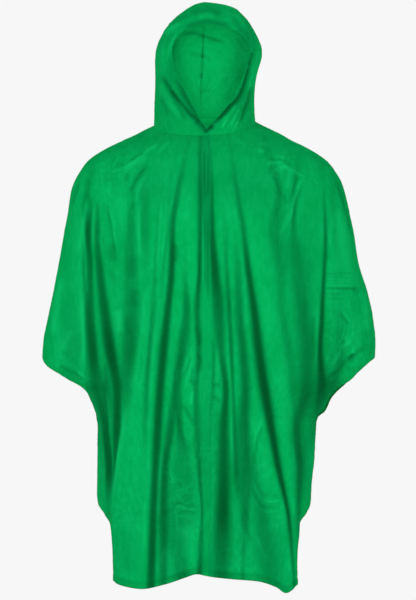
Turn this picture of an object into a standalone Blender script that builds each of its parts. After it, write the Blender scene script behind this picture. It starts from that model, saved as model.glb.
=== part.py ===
"""A hooded rain poncho of plain soft film, hollow as it is when worn.

Metres, +Z up, +X to the wearer's left, the front faces -Y. The origin lies in the middle of the
neck seam, where the shoulders hold the poncho up. Each piece that a maker would cut is one object:
a wall of even thickness over a surface that functions work out from the tables of sections and
folds below.
"""

from collections import namedtuple

import bpy
import numpy as np

MM = 0.001

# Walls and seams.
WALL = 1.5 * MM
SEAM_GAP = 0.3 * MM
LAYER_GAP = 0.6 * MM  # between the two fronts where they lap
CHIN_GAP = 2.0 * MM  # between the hood's halves where they lap
BAND_WALL = 1.2 * MM

# The neck seam is an oval ring that dips at the front, rises at the back and is higher on the left.
NECK_SIDE_LIFT = 12 * MM
NECK_TILT = 4.5 * MM
NECK_DIP = 29 * MM
NECK_RISE = 20 * MM
NECK_BLEND = 20 * MM  # the height in which the tip fades into the level sections

# The front opening: the left front laps over the right one.
LAP_OVER = 13 * MM
LAP_UNDER = 7 * MM
LAP_STEP = 7 * MM
BAND_COLUMNS = 4  # across the lap, which the band covers
CHIN_TOP = 20 * MM  # the hood's right half dips under the left one below this height
CHIN_FADE = 25 * MM

# Hem.
HEM_LEVEL = -950 * MM  # the last level section
HEM_BLEND_TOP = -800 * MM
TIP_LEVEL = -477 * MM  # the sleeves are closed above this height and open below it
NOTCH_LEVEL = -605 * MM  # front and back edges meet here, under the sleeve
BACK_INSET = 0.96  # the back is this much narrower than the front under the notch
BACK_INSET_BLEND = 40 * MM
OVAL_POWER = 2.0  # a section is an ellipse down to the tips
BOXY_POWER = 3.2  # and squarer from the notch down

# Level sections of the body, in mm: the half widths from the centre to the wearer's right and
# left, the depths of front and back, and how far the front and back edges stand off the middle.
Section = namedtuple("Section", "level right left front back front_edge back_edge")
BODY_SECTIONS = (
    Section(0, 113, 100, 85, 78, 0, 0),
    Section(-4, 127, 114, 87, 81, 0, 0),
    Section(-14, 152, 147, 93, 89, 0, 0),
    Section(-25, 184, 177, 100, 97, 0, 0),
    Section(-46, 230, 228, 113, 111, 0, 0),
    Section(-67, 255, 253, 124, 122, 0, 0),
    Section(-88, 268, 268, 131, 130, 0, 0),
    Section(-109, 280, 280, 137, 136, 0, 0),
    Section(-130, 287, 287, 141, 140, 0, 0),
    Section(-172, 293, 297, 147, 144, 0, 0),
    Section(-214, 301, 306, 150, 144, 0, 0),
    Section(-277, 312, 316, 152, 142, 0, 0),
    Section(-340, 324, 335, 150, 138, 0, 0),
    Section(-403, 337, 348, 147, 133, 0, 0),
    Section(-445, 345, 352, 145, 131, 0, 0),
    Section(-477, 347, 351, 144, 130, 0, 0),
    Section(-487, 343, 339, 144, 130, 9, 9),
    Section(-498, 332, 326, 143, 130, 19, 19),
    Section(-508, 318, 314, 143, 129, 27, 27),
    Section(-529, 285, 293, 143, 129, 37, 37),
    Section(-550, 255, 270, 142, 129, 34, 34),
    Section(-571, 245, 255, 142, 128, 23, 25),
    Section(-592, 238, 243, 141, 128, 9, 12),
    Section(-605, 234, 230, 141, 128, 2, 2),
    Section(-634, 232, 226, 141, 128, 3, 5),
    Section(-697, 232, 222, 141, 129, 7, 13),
    Section(-760, 233, 216, 142, 131, 14, 26),
    Section(-783, 232, 215, 143, 132, 20, 32),
    Section(-802, 219, 207, 143, 133, 38, 40),
    Section(-823, 207, 194, 144, 134, 64, 48),
    Section(-844, 205, 192, 145, 135, 78, 54),
    Section(-907, 201, 186, 148, 138, 88, 62),
    Section(-950, 198, 188, 151, 140, 92, 64),
)

# Levels of the solids' rows, in mm.
ROW_LEVELS = (
    0, -4, -14, -25, -46, -67, -88, -109, -135, -172, -214, -256, -298, -340, -382, -424, -455,
    -477, -487, -498, -508, -529, -550, -571, -592, -605, -634, -680, -725, -762, -783, -802, -823,
    -860, -905, -950,
)  # fmt: skip

# Folds. A fold runs from an angle at the neck through its distances from the centre, in mm, at
# the eight levels below. Its depth is below zero for a valley and above for a ridge; its width is
# half of the fold's breadth; it fades in at its top and out at its bottom.
FOLD_LEVELS = (-160, -300, -440, -560, -660, -760, -860, -950)
FOLD_FADE = 70
Fold = namedtuple("Fold", "name neck_angle distances depth width top bottom")
RIGHT_FOLDS = (
    Fold("beside_opening", 11, (36, 38, 48, 64, 78, 85, 81, 77), -6, 10, -250, -990),
    Fold("long_breast", 22, (68, 74, 89, 96, 103, 111, 112, 113), -15, 8, -60, -1040),
    Fold("breast_ridge", 34, (95, 103, 105, 121, 132, 136, 136, 138), 6, 14, -110, -1000),
    Fold("side_soft", 46, (138, 151, 159, 166, 160, 160, 160, 160), -9, 13, -150, -600),
    Fold("front_turn", 54, (189, 185, 183, 176, 180, 191, 188, 186), 7, 8, -360, -820),
    Fold("under_arm", 62, (222, 223, 203, 188, 189, 203, 194, 192), -17, 7, -170, -820),
    Fold("sleeve_inner", 72, (252, 244, 237, 230, 216, 214, 199, 196), -13, 7, -90, -790),
    Fold("sleeve_ridge", 80, (268, 268, 266, 246, 228, 226, 203, 197), 4, 12, -200, -600),
)
LEFT_FOLDS = (
    Fold("beside_band", 11, (17, 20, 31, 39, 37, 35, 34, 27), -15, 7, -210, -990),
    Fold("breast_soft", 20, (41, 48, 65, 77, 72, 70, 69, 67), -8, 8, -220, -930),
    Fold("long_slanting", 34, (69, 84, 100, 120, 139, 157, 168, 172), -15, 8, -90, -1000),
    Fold("side_soft", 48, (138, 152, 166, 160, 166, 172, 176, 177), -6, 10, -110, -520),
    Fold("front_turn", 56, (182, 180, 176, 174, 177, 185, 181, 180), 8, 7, -430, -840),
    Fold("side_valley", 62, (209, 209, 208, 201, 197, 200, 184, 183), -12, 8, -290, -820),
    Fold("under_arm", 70, (252, 246, 235, 231, 218, 210, 188, 186), -16, 7, -120, -640),
    Fold("sleeve_ridge", 80, (270, 272, 268, 246, 222, 213, 190, 187), 4, 12, -200, -600),
)
BACK_RIGHT_FOLDS = (
    Fold("spine", 10, (26, 32, 38, 44, 47, 50, 52, 54), -9, 11, -200, -1020),
    Fold("shoulder_blade", 28, (82, 88, 96, 100, 104, 110, 116, 118), -14, 9, -80, -1040),
    Fold("blade_ridge", 40, (118, 126, 132, 132, 138, 140, 142, 144), 6, 13, -140, -1000),
    Fold("back_side", 52, (168, 172, 170, 164, 164, 166, 164, 166), -12, 10, -120, -980),
    Fold("back_arm", 70, (238, 236, 226, 212, 204, 202, 186, 184), -14, 9, -110, -800),
)
BACK_LEFT_FOLDS = (
    Fold("spine", 14, (36, 34, 30, 28, 27, 28, 30, 32), -11, 10, -150, -1040),
    Fold("shoulder_blade", 30, (90, 92, 90, 86, 84, 84, 86, 88), -12, 10, -110, -1020),
    Fold("blade_ridge", 42, (124, 122, 122, 116, 114, 114, 116, 118), 6, 12, -160, -1000),
    Fold("back_side", 54, (164, 162, 160, 152, 150, 150, 150, 150), -13, 9, -90, -1030),
    Fold("back_arm", 68, (232, 234, 222, 204, 194, 190, 176, 172), -13, 9, -140, -780),
)

# Hem heights in mm against the distance from the centre, wearer's right below zero.
FRONT_HEM = {
    "across": (-205, -190, -178, -137, -88, -46, -21, -5, 46, 97, 142, 162, 188),
    "height": (-926, -938, -942, -947, -937, -923, -916, -919, -926, -930, -944, -953, -942),
}
BACK_HEM = {
    "across": (-200, -180, -130, -60, 0, 70, 130, 170, 190),
    "height": (-905, -922, -931, -934, -930, -934, -930, -921, -903),
}

# The hood is two halves. Each is a fan of arches that stand on the neck seam and end on the seam
# over the crown. A row gives the arch's place on the neck in degrees from the front, where it
# reaches the crown seam, how wide it bulges low down and high up on the wearer's right and left,
# how high its low bulge lies as a share of its height, and how far it bows out behind, in mm.
Arch = namedtuple(
    "Arch",
    "name neck_angle crown_y crown_z low_right low_left high_right high_left low_at high_at bow",
)
HOOD_ARCHES = (
    Arch("face_edge", -6, -118, 210, 70, 73, 111, 140, 0.30, 0.98, 0),
    Arch("brim", 12, -104, 237, 88, 81, 110, 144, 0.34, 0.97, 0),
    Arch("cheek", 34, -70, 257, 107, 90, 107, 149, 0.42, 0.96, 0),
    Arch("ear", 78, -4, 267, 111, 92, 101, 145, 0.46, 0.96, 0),
    Arch("behind_ear", 122, 60, 249, 103, 84, 89, 127, 0.46, 0.94, 6),
    Arch("nape", 154, 98, 217, 69, 56, 61, 93, 0.42, 0.86, 14),
    Arch("back_seam", 180, 118, 176, 0, 0, 0, 0, 0.36, 0.70, 20),
)
# Where the hood swells out or draws in at the sides: the side it is on, the height of its middle,
# its half breadth up and down and how far it goes, in mm.
Swell = namedtuple("Swell", "name side height breadth out")
HOOD_SWELLS = (
    Swell("left_temple", 1, 163, 27, 17),
    Swell("right_temple", -1, 180, 40, 13),
)
HOOD_COLUMNS = 17
HOOD_ROWS = 13
HOOD_HEM_COLUMNS = 3

GREEN = (0.0, 0.36, 0.09)
ROUGHNESS = 0.36

# Columns of the solids' grids.
VALLEY_COLUMNS = (-1.4, 0, 1.4)  # on a valley, in its spreads from its line
RIDGE_COLUMNS = (0,)
COLUMN_GAP = np.radians(1.3)
LAP_COLUMN_GAP = np.radians(0.2)
LAST_COLUMN = np.radians(87)  # before the panel's side edge
LAST_FOLD = np.radians(86)
BACK_START = np.radians(1.5)

SHARP_ANGLE = np.radians(50)
SLOPE_STEP = 1e-4


def smooth_table(at, knots, values):
    """Monotone cubic through the points (knots, values), knots rising, and straight beyond its ends."""
    knots = np.asarray(knots, float)
    values = np.asarray(values, float)
    spans = np.diff(knots)
    rises = np.diff(values) / spans
    slopes = np.empty_like(values)
    slopes[0], slopes[-1] = rises[0], rises[-1]
    turning = rises[:-1] * rises[1:] <= 0
    before = 2 * spans[1:] + spans[:-1]
    after = spans[1:] + 2 * spans[:-1]
    safe = np.where(turning, 1.0, rises[:-1]), np.where(turning, 1.0, rises[1:])
    slopes[1:-1] = np.where(turning, 0.0, (before + after) / (before / safe[0] + after / safe[1]))
    inside = np.clip(at, knots[0], knots[-1])
    cell = np.clip(np.searchsorted(knots, inside, side="right") - 1, 0, len(knots) - 2)
    span = spans[cell]
    t = (inside - knots[cell]) / span
    beyond = (at - inside) * np.where(at < inside, slopes[0], slopes[-1])
    return (
        beyond
        + values[cell] * (2 * t**3 - 3 * t**2 + 1)
        + slopes[cell] * span * (t**3 - 2 * t**2 + t)
        + values[cell + 1] * (3 * t**2 - 2 * t**3)
        + slopes[cell + 1] * span * (t**3 - t**2)
    )


def ease(t):
    """Rises from 0 to 1 as t does, with level ends."""
    t = np.clip(t, 0, 1)
    return t * t * (3 - 2 * t)


def section_size(name, level):
    """One column of the body's sections at a height, in metres."""
    rows = BODY_SECTIONS[::-1]
    knots = [row.level * MM for row in rows]
    return smooth_table(level, knots, [getattr(row, name) * MM for row in rows])


def half_width(angle, level, back):
    """The section's half width on the side that the angle is on."""
    width = np.where(angle < 0, section_size("right", level), section_size("left", level))
    if back:
        narrowing = ease((NOTCH_LEVEL - level) / BACK_INSET_BLEND)
        width = width * (1 - (1 - BACK_INSET) * narrowing)
    return width


def neck_lift(angle, back):
    """How far the neck seam stands over the level section, at an angle from the front or back."""
    toward_middle = NECK_RISE if back else -NECK_DIP
    return NECK_SIDE_LIFT + NECK_TILT * np.sin(angle) + toward_middle * np.cos(angle)


def plain_surface(angle, level, back):
    """The body without folds: an oval section at each level, blended into the neck and the hem."""
    side, edge, table = ("back", "back_edge", BACK_HEM) if back else ("front", "front_edge", FRONT_HEM)
    depth = section_size(side, level)
    stand_off = section_size(edge, level)
    x = half_width(angle, level, back) * np.sin(angle)
    power = OVAL_POWER + (BOXY_POWER - OVAL_POWER) * ease((TIP_LEVEL - level) / (TIP_LEVEL - NOTCH_LEVEL))
    bulge = np.sign(np.cos(angle)) * np.sqrt(np.maximum(1 - np.abs(np.sin(angle)) ** power, 0))
    y = (stand_off + (depth - stand_off) * bulge) * (1 if back else -1)
    hem = smooth_table(x, np.array(table["across"]) * MM, np.array(table["height"]) * MM)
    hem_share = ease((HEM_BLEND_TOP - level) / (HEM_BLEND_TOP - HEM_LEVEL))
    z = level + neck_lift(angle, back) * np.exp(level / NECK_BLEND) + (hem - HEM_LEVEL) * hem_share
    return np.stack([x, y, z], axis=-1)


def fold_angle(fold, level, sign, back):
    """The angle at which a fold crosses each level."""
    knots = np.array((0, *FOLD_LEVELS))[::-1] * MM
    neck = section_size("left" if sign > 0 else "right", 0.0) * np.sin(np.radians(fold.neck_angle))
    across = smooth_table(level, knots, np.array((neck, *(d * MM for d in fold.distances)))[::-1])
    share = across / half_width(np.float64(sign), level, back)
    return np.arcsin(np.clip(share, 0, np.sin(LAST_FOLD)))


def fold_spread(fold, level, crossing, sign, back):
    """The angle that the fold's half breadth takes up at each level."""
    depth = section_size("back" if back else "front", level)
    width = half_width(np.float64(sign), level, back)
    run = np.hypot(width * np.cos(crossing), depth * np.sin(crossing))
    return fold.width * MM / run


def relief(angle, level, back):
    """How far the folds lift the cloth off the plain surface, in metres."""
    total = np.zeros(np.broadcast(angle, level).shape)
    sides = (-1, BACK_RIGHT_FOLDS if back else RIGHT_FOLDS), (1, BACK_LEFT_FOLDS if back else LEFT_FOLDS)
    for sign, folds in sides:
        for fold in folds:
            crossing = fold_angle(fold, level, sign, back)
            spread = fold_spread(fold, level, crossing, sign, back)
            fade = ease((fold.top * MM - level) / (FOLD_FADE * MM))
            fade = fade * ease((level - fold.bottom * MM) / (FOLD_FADE * MM))
            off = (angle - sign * crossing) / spread
            total = total + fold.depth * MM * fade * np.exp(-0.5 * off**2)
    return total


def unit(vectors):
    return vectors / np.linalg.norm(vectors, axis=-1, keepdims=True)


def body_normal(surface, angle, level, back):
    """Outward normals from the slopes of a surface along its angle and its level."""
    along = surface(angle + SLOPE_STEP, level) - surface(angle - SLOPE_STEP, level)
    down = surface(angle, level - SLOPE_STEP) - surface(angle, level + SLOPE_STEP)
    normal = np.cross(along, down)
    return unit(normal if back else -normal)


def body_surface(angle, level, back):
    """The body with its folds, which stand along the plain surface's normal."""

    def plain(a, h):
        return plain_surface(a, h, back)

    lift = relief(angle, level, back)[..., None]
    return plain(angle, level) + body_normal(plain, angle, level, back) * lift


def wall_mesh(name, outer, normals, thickness, parent, mirrored=False):
    """A closed wall: the outer grid of points, the same grid moved in along its normals, and a rim.

    A mirrored grid is cut along its cells' other diagonal, so that it matches its opposite.
    """
    rows, columns = outer.shape[:2]
    inner = outer - normals * thickness
    points = np.concatenate([outer.reshape(-1, 3), inner.reshape(-1, 3)])
    index = np.arange(rows * columns).reshape(rows, columns)
    a, b = index[:-1, :-1], index[:-1, 1:]
    c, d = index[1:, 1:], index[1:, :-1]
    halves = ((a, b, d), (b, c, d)) if mirrored else ((a, b, c), (a, c, d))
    sheet = np.concatenate([np.stack(half, axis=-1).reshape(-1, 3) for half in halves])
    ring = np.concatenate([index[0, :], index[1:, -1], index[-1, -2::-1], index[-2:0:-1, 0]])
    after = np.roll(ring, -1)
    below = rows * columns
    rim = np.concatenate(
        [
            np.stack([after, ring, ring + below], axis=-1),
            np.stack([after, ring + below, after + below], axis=-1),
        ]
    )
    faces = np.concatenate([sheet, sheet[:, ::-1] + below, rim])
    if np.linalg.det(points[faces]).sum() < 0:
        faces = faces[:, ::-1]
    mesh = bpy.data.meshes.new(name)
    mesh.from_pydata(points.tolist(), [], faces.tolist())
    mesh.update()
    mesh.shade_smooth()
    mesh.set_sharp_from_angle(angle=SHARP_ANGLE)
    body = bpy.data.objects.new(name, mesh)
    bpy.context.scene.collection.objects.link(body)
    body.parent = parent
    return body


def ordered_angles(marks, gap, last):
    """Keeps each row's angles rising by at least the gap, with the last one at the panel's edge."""
    marks = marks.copy()
    marks[:, -1] = last
    for column in range(1, marks.shape[1] - 1):
        marks[:, column] = np.maximum(marks[:, column], marks[:, column - 1] + gap)
    for column in range(marks.shape[1] - 2, 0, -1):
        marks[:, column] = np.minimum(marks[:, column], marks[:, column + 1] - gap)
    return marks


def side_columns(folds, level, sign, back, start, last):
    """Column angles for one side of a panel: three on each valley, one on each ridge."""
    marks = [start]
    for fold in folds:
        crossing = fold_angle(fold, level, sign, back)
        spread = fold_spread(fold, level, crossing, sign, back)
        offsets = VALLEY_COLUMNS if fold.depth < 0 else RIDGE_COLUMNS
        marks += [crossing + offset * spread for offset in offsets]
    marks += [LAST_COLUMN + 0 * level, last]
    return ordered_angles(np.stack(marks, axis=-1), COLUMN_GAP, last)


def panel_edge(level, back):
    """The angle of the panel's side edge: half a seam gap short of the side where it is closed."""
    depth = section_size("back" if back else "front", level)
    closed = level >= TIP_LEVEL - 1e-6
    return np.where(closed, np.pi / 2 - 0.5 * SEAM_GAP / depth, np.pi / 2)


def neck_ring(turn):
    """Points of the neck seam, by the turn from the front: below zero on the wearer's right."""
    away = np.abs(turn)
    back = away > np.pi / 2
    own = np.where(back, np.pi - away, away) * np.sign(turn)
    front_points = plain_surface(own, np.zeros_like(own), False)
    back_points = plain_surface(own, np.zeros_like(own), True)
    return np.where(back[..., None], back_points, front_points)


def hood_turns(sign):
    """Where the hood's arches stand on the neck seam; the first one laps past the centre."""
    share = np.linspace(0, len(HOOD_ARCHES) - 1, HOOD_COLUMNS)
    turns = np.radians(smooth_table(share, range(len(HOOD_ARCHES)), [row.neck_angle for row in HOOD_ARCHES]))
    turns[0] = lap_angles(np.zeros(1))[0, 0] if sign > 0 else -lap_angles(np.zeros(1))[0, -1]
    return share, turns


def on_neck_seam(angle, back, sign):
    """Points on the straight pieces between the hood's arches, which the body's top edge follows."""
    turn = np.pi - np.abs(angle) if back else angle
    _, knots = hood_turns(sign)
    ring = neck_ring(knots * sign)
    return np.stack([np.interp(turn, knots, ring[:, axis]) for axis in range(3)], axis=-1)


def lap_inset(across, gap):
    """How far the right side dips under the left one, by the distance across."""
    return (WALL + gap) * ease((across + LAP_OVER + LAP_STEP + MM) / LAP_STEP)


def lap_angles(level):
    """Columns across the lap, at the same places on both fronts."""
    across = np.linspace(-LAP_OVER, LAP_UNDER, BAND_COLUMNS)
    width = half_width(np.sign(across)[None, :], level[:, None], False)
    return np.arcsin(across / width)


def front_panel(name, sign, folds, parent):
    """One front, from past the centre to the seam along the arm and the free side edge."""
    level = np.array(ROW_LEVELS) * MM
    lap = lap_angles(level) if sign > 0 else -lap_angles(level)[:, ::-1]
    angle = side_columns(folds, level, sign, False, lap[:, -1], panel_edge(level, False))
    if sign < 0:
        across = np.array((LAP_OVER + MM, LAP_OVER + LAP_STEP + MM))
        lap = np.concatenate([lap, np.arcsin(across / section_size("right", level)[:, None])], axis=1)
    angle = np.concatenate([lap, angle[:, 1:]], axis=1)
    angle = ordered_angles(angle, LAP_COLUMN_GAP, angle[:, -1])
    level = np.repeat(level[:, None], angle.shape[1], axis=1)

    def surface(a, h):
        return body_surface(a, h, False)

    points = surface(angle * sign, level)
    normals = body_normal(surface, angle * sign, level, False)
    points[0] = on_neck_seam(angle[0], False, sign)
    if sign < 0:
        points = points - normals * lap_inset(points[..., :1], LAYER_GAP)
    return wall_mesh(name, points, normals, WALL, parent, sign < 0), points, normals


def back_panel(name, parent):
    """The back, from one arm's seam to the other's."""
    level = np.array(ROW_LEVELS) * MM
    edge = panel_edge(level, True)
    middle = BACK_START + 0 * level
    right = side_columns(BACK_RIGHT_FOLDS, level, -1, True, middle, edge)
    left = side_columns(BACK_LEFT_FOLDS, level, 1, True, middle, edge)
    angle = np.concatenate([-right[:, ::-1], left], axis=1)
    level = np.repeat(level[:, None], angle.shape[1], axis=1)

    def surface(a, h):
        return body_surface(a, h, True)

    points = surface(angle, level)
    normals = body_normal(surface, angle, level, True)
    for sign in (-1, 1):
        own = np.sign(angle[0]) == sign
        points[0, own] = on_neck_seam(angle[0, own], True, sign)
    return wall_mesh(name, points, normals, WALL, parent)


def front_band(name, points, normals, parent):
    """The band along the left front's edge, laid on that front's points from under the neck seam."""
    own, out = points[1:, :BAND_COLUMNS], normals[1:, :BAND_COLUMNS]
    return wall_mesh(name, own + out * (SEAM_GAP + BAND_WALL), out, BAND_WALL, parent)


def hood_surface(share, rise, sign, turns):
    """A point of the hood: which arch, as a share of the fan, and how far up that arch."""
    rows = range(len(HOOD_ARCHES))
    own = "left" if sign > 0 else "right"

    def column(name):
        return smooth_table(share, rows, [getattr(row, name) for row in HOOD_ARCHES])

    knots = np.linspace(0, len(HOOD_ARCHES) - 1, HOOD_COLUMNS)
    turn = np.interp(share, knots, turns)
    foot = neck_ring(turn * sign)
    foot_x = foot[..., 0] * sign
    low, high = column("low_" + own) * MM, column("high_" + own) * MM
    low_at, high_at = column("low_at"), column("high_at")
    first, second, third = 3 * (1 - rise) ** 2 * rise, 3 * (1 - rise) * rise**2, rise**3
    x = foot_x * (1 - rise) ** 3 + low * first + high * second
    climb = low_at * first + high_at * second + third
    y = foot[..., 1] + (column("crown_y") * MM - foot[..., 1]) * climb
    y = y + column("bow") * MM * np.sin(np.pi * climb)
    z = foot[..., 2] + SEAM_GAP + (column("crown_z") * MM - foot[..., 2]) * climb
    for swell in HOOD_SWELLS:
        if swell.side == sign:
            off = (z - swell.height * MM) / (swell.breadth * MM)
            x = x + swell.out * MM * np.exp(-0.5 * off**2) * x / (high + SLOPE_STEP)
    return np.stack([x * sign, y, z], axis=-1)


def hood_grid(sign, shares, rises):
    """Points and outward normals of one half of the hood on a grid of arches and heights."""
    _, turns = hood_turns(sign)
    share, rise = np.meshgrid(shares, rises)

    def surface(s, r):
        return hood_surface(s, r, sign, turns)

    def slope(step_share, step_rise):
        upper = np.clip(share + step_share, 0, len(HOOD_ARCHES) - 1), np.clip(rise + step_rise, 0, 1)
        lower = np.clip(share - step_share, 0, len(HOOD_ARCHES) - 1), np.clip(rise - step_rise, 0, 1)
        return surface(*upper) - surface(*lower)

    points = surface(share, rise)
    around, up = slope(10 * SLOPE_STEP, 0), slope(0, 10 * SLOPE_STEP)
    normals = np.cross(around, up) * sign
    on_crown = rise > 1 - 1e-9
    on_back_seam = share > len(HOOD_ARCHES) - 1 - 1e-9
    level_out = np.zeros(share.shape)
    over_crown = np.stack([level_out, -around[..., 2], around[..., 1]], axis=-1)
    down_back = np.stack([level_out, up[..., 2], -up[..., 1]], axis=-1)
    normals = np.where(on_back_seam[..., None], down_back, normals)
    normals = unit(np.where(on_crown[..., None], over_crown, normals))
    if sign < 0:
        inset = lap_inset(points[..., 0], CHIN_GAP) * ease((CHIN_TOP - points[..., 2]) / CHIN_FADE)
        points = points - normals * inset[..., None]
    points[..., 0] = np.where(on_crown | on_back_seam, sign * SEAM_GAP / 2, points[..., 0])
    return points, normals


def hood_half(name, sign, parent):
    """One half of the hood, from the face to the seam down the back."""
    shares, _ = hood_turns(sign)
    rises = np.linspace(0, 1, HOOD_ROWS)
    points, normals = hood_grid(sign, shares, rises)
    return wall_mesh(name, points, normals, WALL, parent, sign > 0)


def hood_face_hem(name, parent):
    """The turned edge round the face, laid outside both halves, from the left one's lap on."""
    shares = hood_turns(1)[0][:HOOD_HEM_COLUMNS]
    rises = np.linspace(0, 1, HOOD_ROWS)
    right, right_normals = hood_grid(-1, shares, rises[1:])
    left, left_normals = hood_grid(1, shares, rises[:-1])
    points = np.concatenate([right, left[::-1]])
    normals = np.concatenate([right_normals, left_normals[::-1]])
    points = points + normals * (SEAM_GAP + BAND_WALL)
    return wall_mesh(name, points, normals, BAND_WALL, parent)


def soft_film(name, colour, roughness):
    """Soft plasticised film in one colour."""
    material = bpy.data.materials.new(name)
    material.use_nodes = True
    shader = material.node_tree.nodes["Principled BSDF"]
    shader.inputs["Base Color"].default_value = (*colour, 1)
    shader.inputs["Roughness"].default_value = roughness
    shader.inputs["Metallic"].default_value = 0
    return material


def main():
    for item in list(bpy.data.objects):
        bpy.data.objects.remove(item)
    poncho = bpy.data.objects.new("rain_poncho", None)
    bpy.context.scene.collection.objects.link(poncho)
    film = soft_film("green_soft_film", GREEN, ROUGHNESS)
    front_right, _, _ = front_panel("front_right_panel", -1, RIGHT_FOLDS, poncho)
    front_left, left_points, left_normals = front_panel("front_left_panel", 1, LEFT_FOLDS, poncho)
    pieces = (
        back_panel("back_panel", poncho),
        front_right,
        front_left,
        front_band("front_band", left_points, left_normals, poncho),
        hood_half("hood_right", -1, poncho),
        hood_half("hood_left", 1, poncho),
        hood_face_hem("hood_face_hem", poncho),
    )
    for piece in pieces:
        piece.data.materials.append(film)


main()
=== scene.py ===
"""Looks of a hooded rain poncho in plain soft film, filled out as it is when worn.

Metres, +Z up, +X to the wearer's left, the front faces -Y. Each shell is one film that lies on the
form of its solid. Long folds and short creases stand along the film's normal, and their tables hold
where they lie in the front or the back view, in mm. Folds, creases and patches also lay painted
shade and painted highlights on the film's green.
"""

from collections import namedtuple

import bpy
import numpy as np
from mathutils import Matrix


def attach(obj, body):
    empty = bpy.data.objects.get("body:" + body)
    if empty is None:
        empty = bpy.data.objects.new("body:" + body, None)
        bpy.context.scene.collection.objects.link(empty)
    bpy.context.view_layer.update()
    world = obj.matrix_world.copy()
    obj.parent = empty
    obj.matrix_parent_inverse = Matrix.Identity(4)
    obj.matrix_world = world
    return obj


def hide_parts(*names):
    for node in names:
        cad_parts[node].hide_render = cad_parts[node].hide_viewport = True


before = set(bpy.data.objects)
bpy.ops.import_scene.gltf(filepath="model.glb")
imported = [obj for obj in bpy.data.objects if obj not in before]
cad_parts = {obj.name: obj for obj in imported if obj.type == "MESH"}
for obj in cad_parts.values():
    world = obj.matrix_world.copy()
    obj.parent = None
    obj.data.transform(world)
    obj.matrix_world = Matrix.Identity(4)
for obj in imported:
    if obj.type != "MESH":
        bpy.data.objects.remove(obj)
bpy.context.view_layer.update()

bl_info = {
    "name": "Rain poncho looks",
    "version": (1, 0, 0),
    "blender": (4, 5, 0),
    "location": "3D view > Sidebar > Poncho",
    "description": "Film shells, welds, creases and the stage of a hooded rain poncho",
    "category": "Object",
}

MM = 0.001
BODY = "root"

# The neck seam's ring, the levels at which the body's form changes and the fronts' lap, as in the
# solids.
NECK_SIDE_LIFT = 12 * MM
NECK_TILT = 4.5 * MM
NECK_DIP = 29 * MM
NECK_RISE = 20 * MM
NECK_BLEND = 20 * MM
HEM_LEVEL = -950 * MM
HEM_BLEND_TOP = -800 * MM
TIP_LEVEL = -477 * MM
NOTCH_LEVEL = -605 * MM
BACK_INSET = 0.96
BACK_INSET_BLEND = 40 * MM
OVAL_POWER = 2.0
BOXY_POWER = 3.2
LAP_OVER = 13 * MM
LAP_UNDER = 7 * MM
LAP_STEP = 7 * MM
LAP_SPARE = 1 * MM

# Level sections of the body, as in the solids, in mm: the half widths on the wearer's right and
# left, the depths before and behind, and how far the front's and the back's side edges stand apart
# from the plane between them.
Section = namedtuple("Section", "level right left front back front_edge back_edge")
BODY_SECTIONS = (
    Section(0, 113, 100, 85, 78, 0, 0),
    Section(-4, 127, 114, 87, 81, 0, 0),
    Section(-14, 152, 147, 93, 89, 0, 0),
    Section(-25, 179, 173, 100, 97, 0, 0),
    Section(-46, 224, 220, 113, 111, 0, 0),
    Section(-67, 253, 251, 124, 122, 0, 0),
    Section(-88, 268, 268, 131, 130, 0, 0),
    Section(-109, 280, 280, 137, 136, 0, 0),
    Section(-130, 287, 287, 141, 140, 0, 0),
    Section(-172, 293, 297, 147, 144, 0, 0),
    Section(-214, 301, 306, 150, 144, 0, 0),
    Section(-277, 312, 316, 152, 142, 0, 0),
    Section(-340, 324, 335, 150, 138, 0, 0),
    Section(-403, 337, 348, 147, 133, 0, 0),
    Section(-445, 345, 352, 145, 131, 0, 0),
    Section(-477, 347, 351, 144, 130, 0, 0),
    Section(-487, 343, 339, 144, 130, 9, 9),
    Section(-498, 332, 326, 143, 130, 19, 19),
    Section(-508, 314, 315, 143, 129, 27, 27),
    Section(-529, 280, 297, 143, 129, 37, 37),
    Section(-550, 251, 276, 142, 129, 34, 34),
    Section(-571, 242, 259, 142, 128, 23, 25),
    Section(-592, 236, 247, 141, 128, 9, 12),
    Section(-605, 233, 233, 141, 128, 2, 2),
    Section(-634, 231, 230, 141, 128, 3, 5),
    Section(-697, 231, 228, 141, 129, 7, 13),
    Section(-760, 232, 218, 142, 131, 14, 26),
    Section(-783, 229, 215, 143, 132, 20, 32),
    Section(-802, 215, 207, 143, 133, 38, 40),
    Section(-823, 203, 194, 144, 134, 64, 48),
    Section(-844, 200, 193, 145, 135, 78, 54),
    Section(-907, 197, 190, 148, 138, 88, 62),
    Section(-950, 196, 191, 151, 140, 92, 64),
)

# Hem heights in mm against the distance from the centre, wearer's right below zero.
FRONT_HEM = {
    "across": (-205, -190, -178, -137, -88, -46, -21, -5, 46, 97, 142, 164, 188),
    "height": (-926, -938, -942, -947, -937, -923, -916, -919, -926, -930, -944, -957, -944),
}
BACK_HEM = {
    "across": (-200, -180, -130, -60, 0, 70, 130, 170, 190),
    "height": (-905, -922, -931, -934, -930, -934, -930, -921, -903),
}
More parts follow.
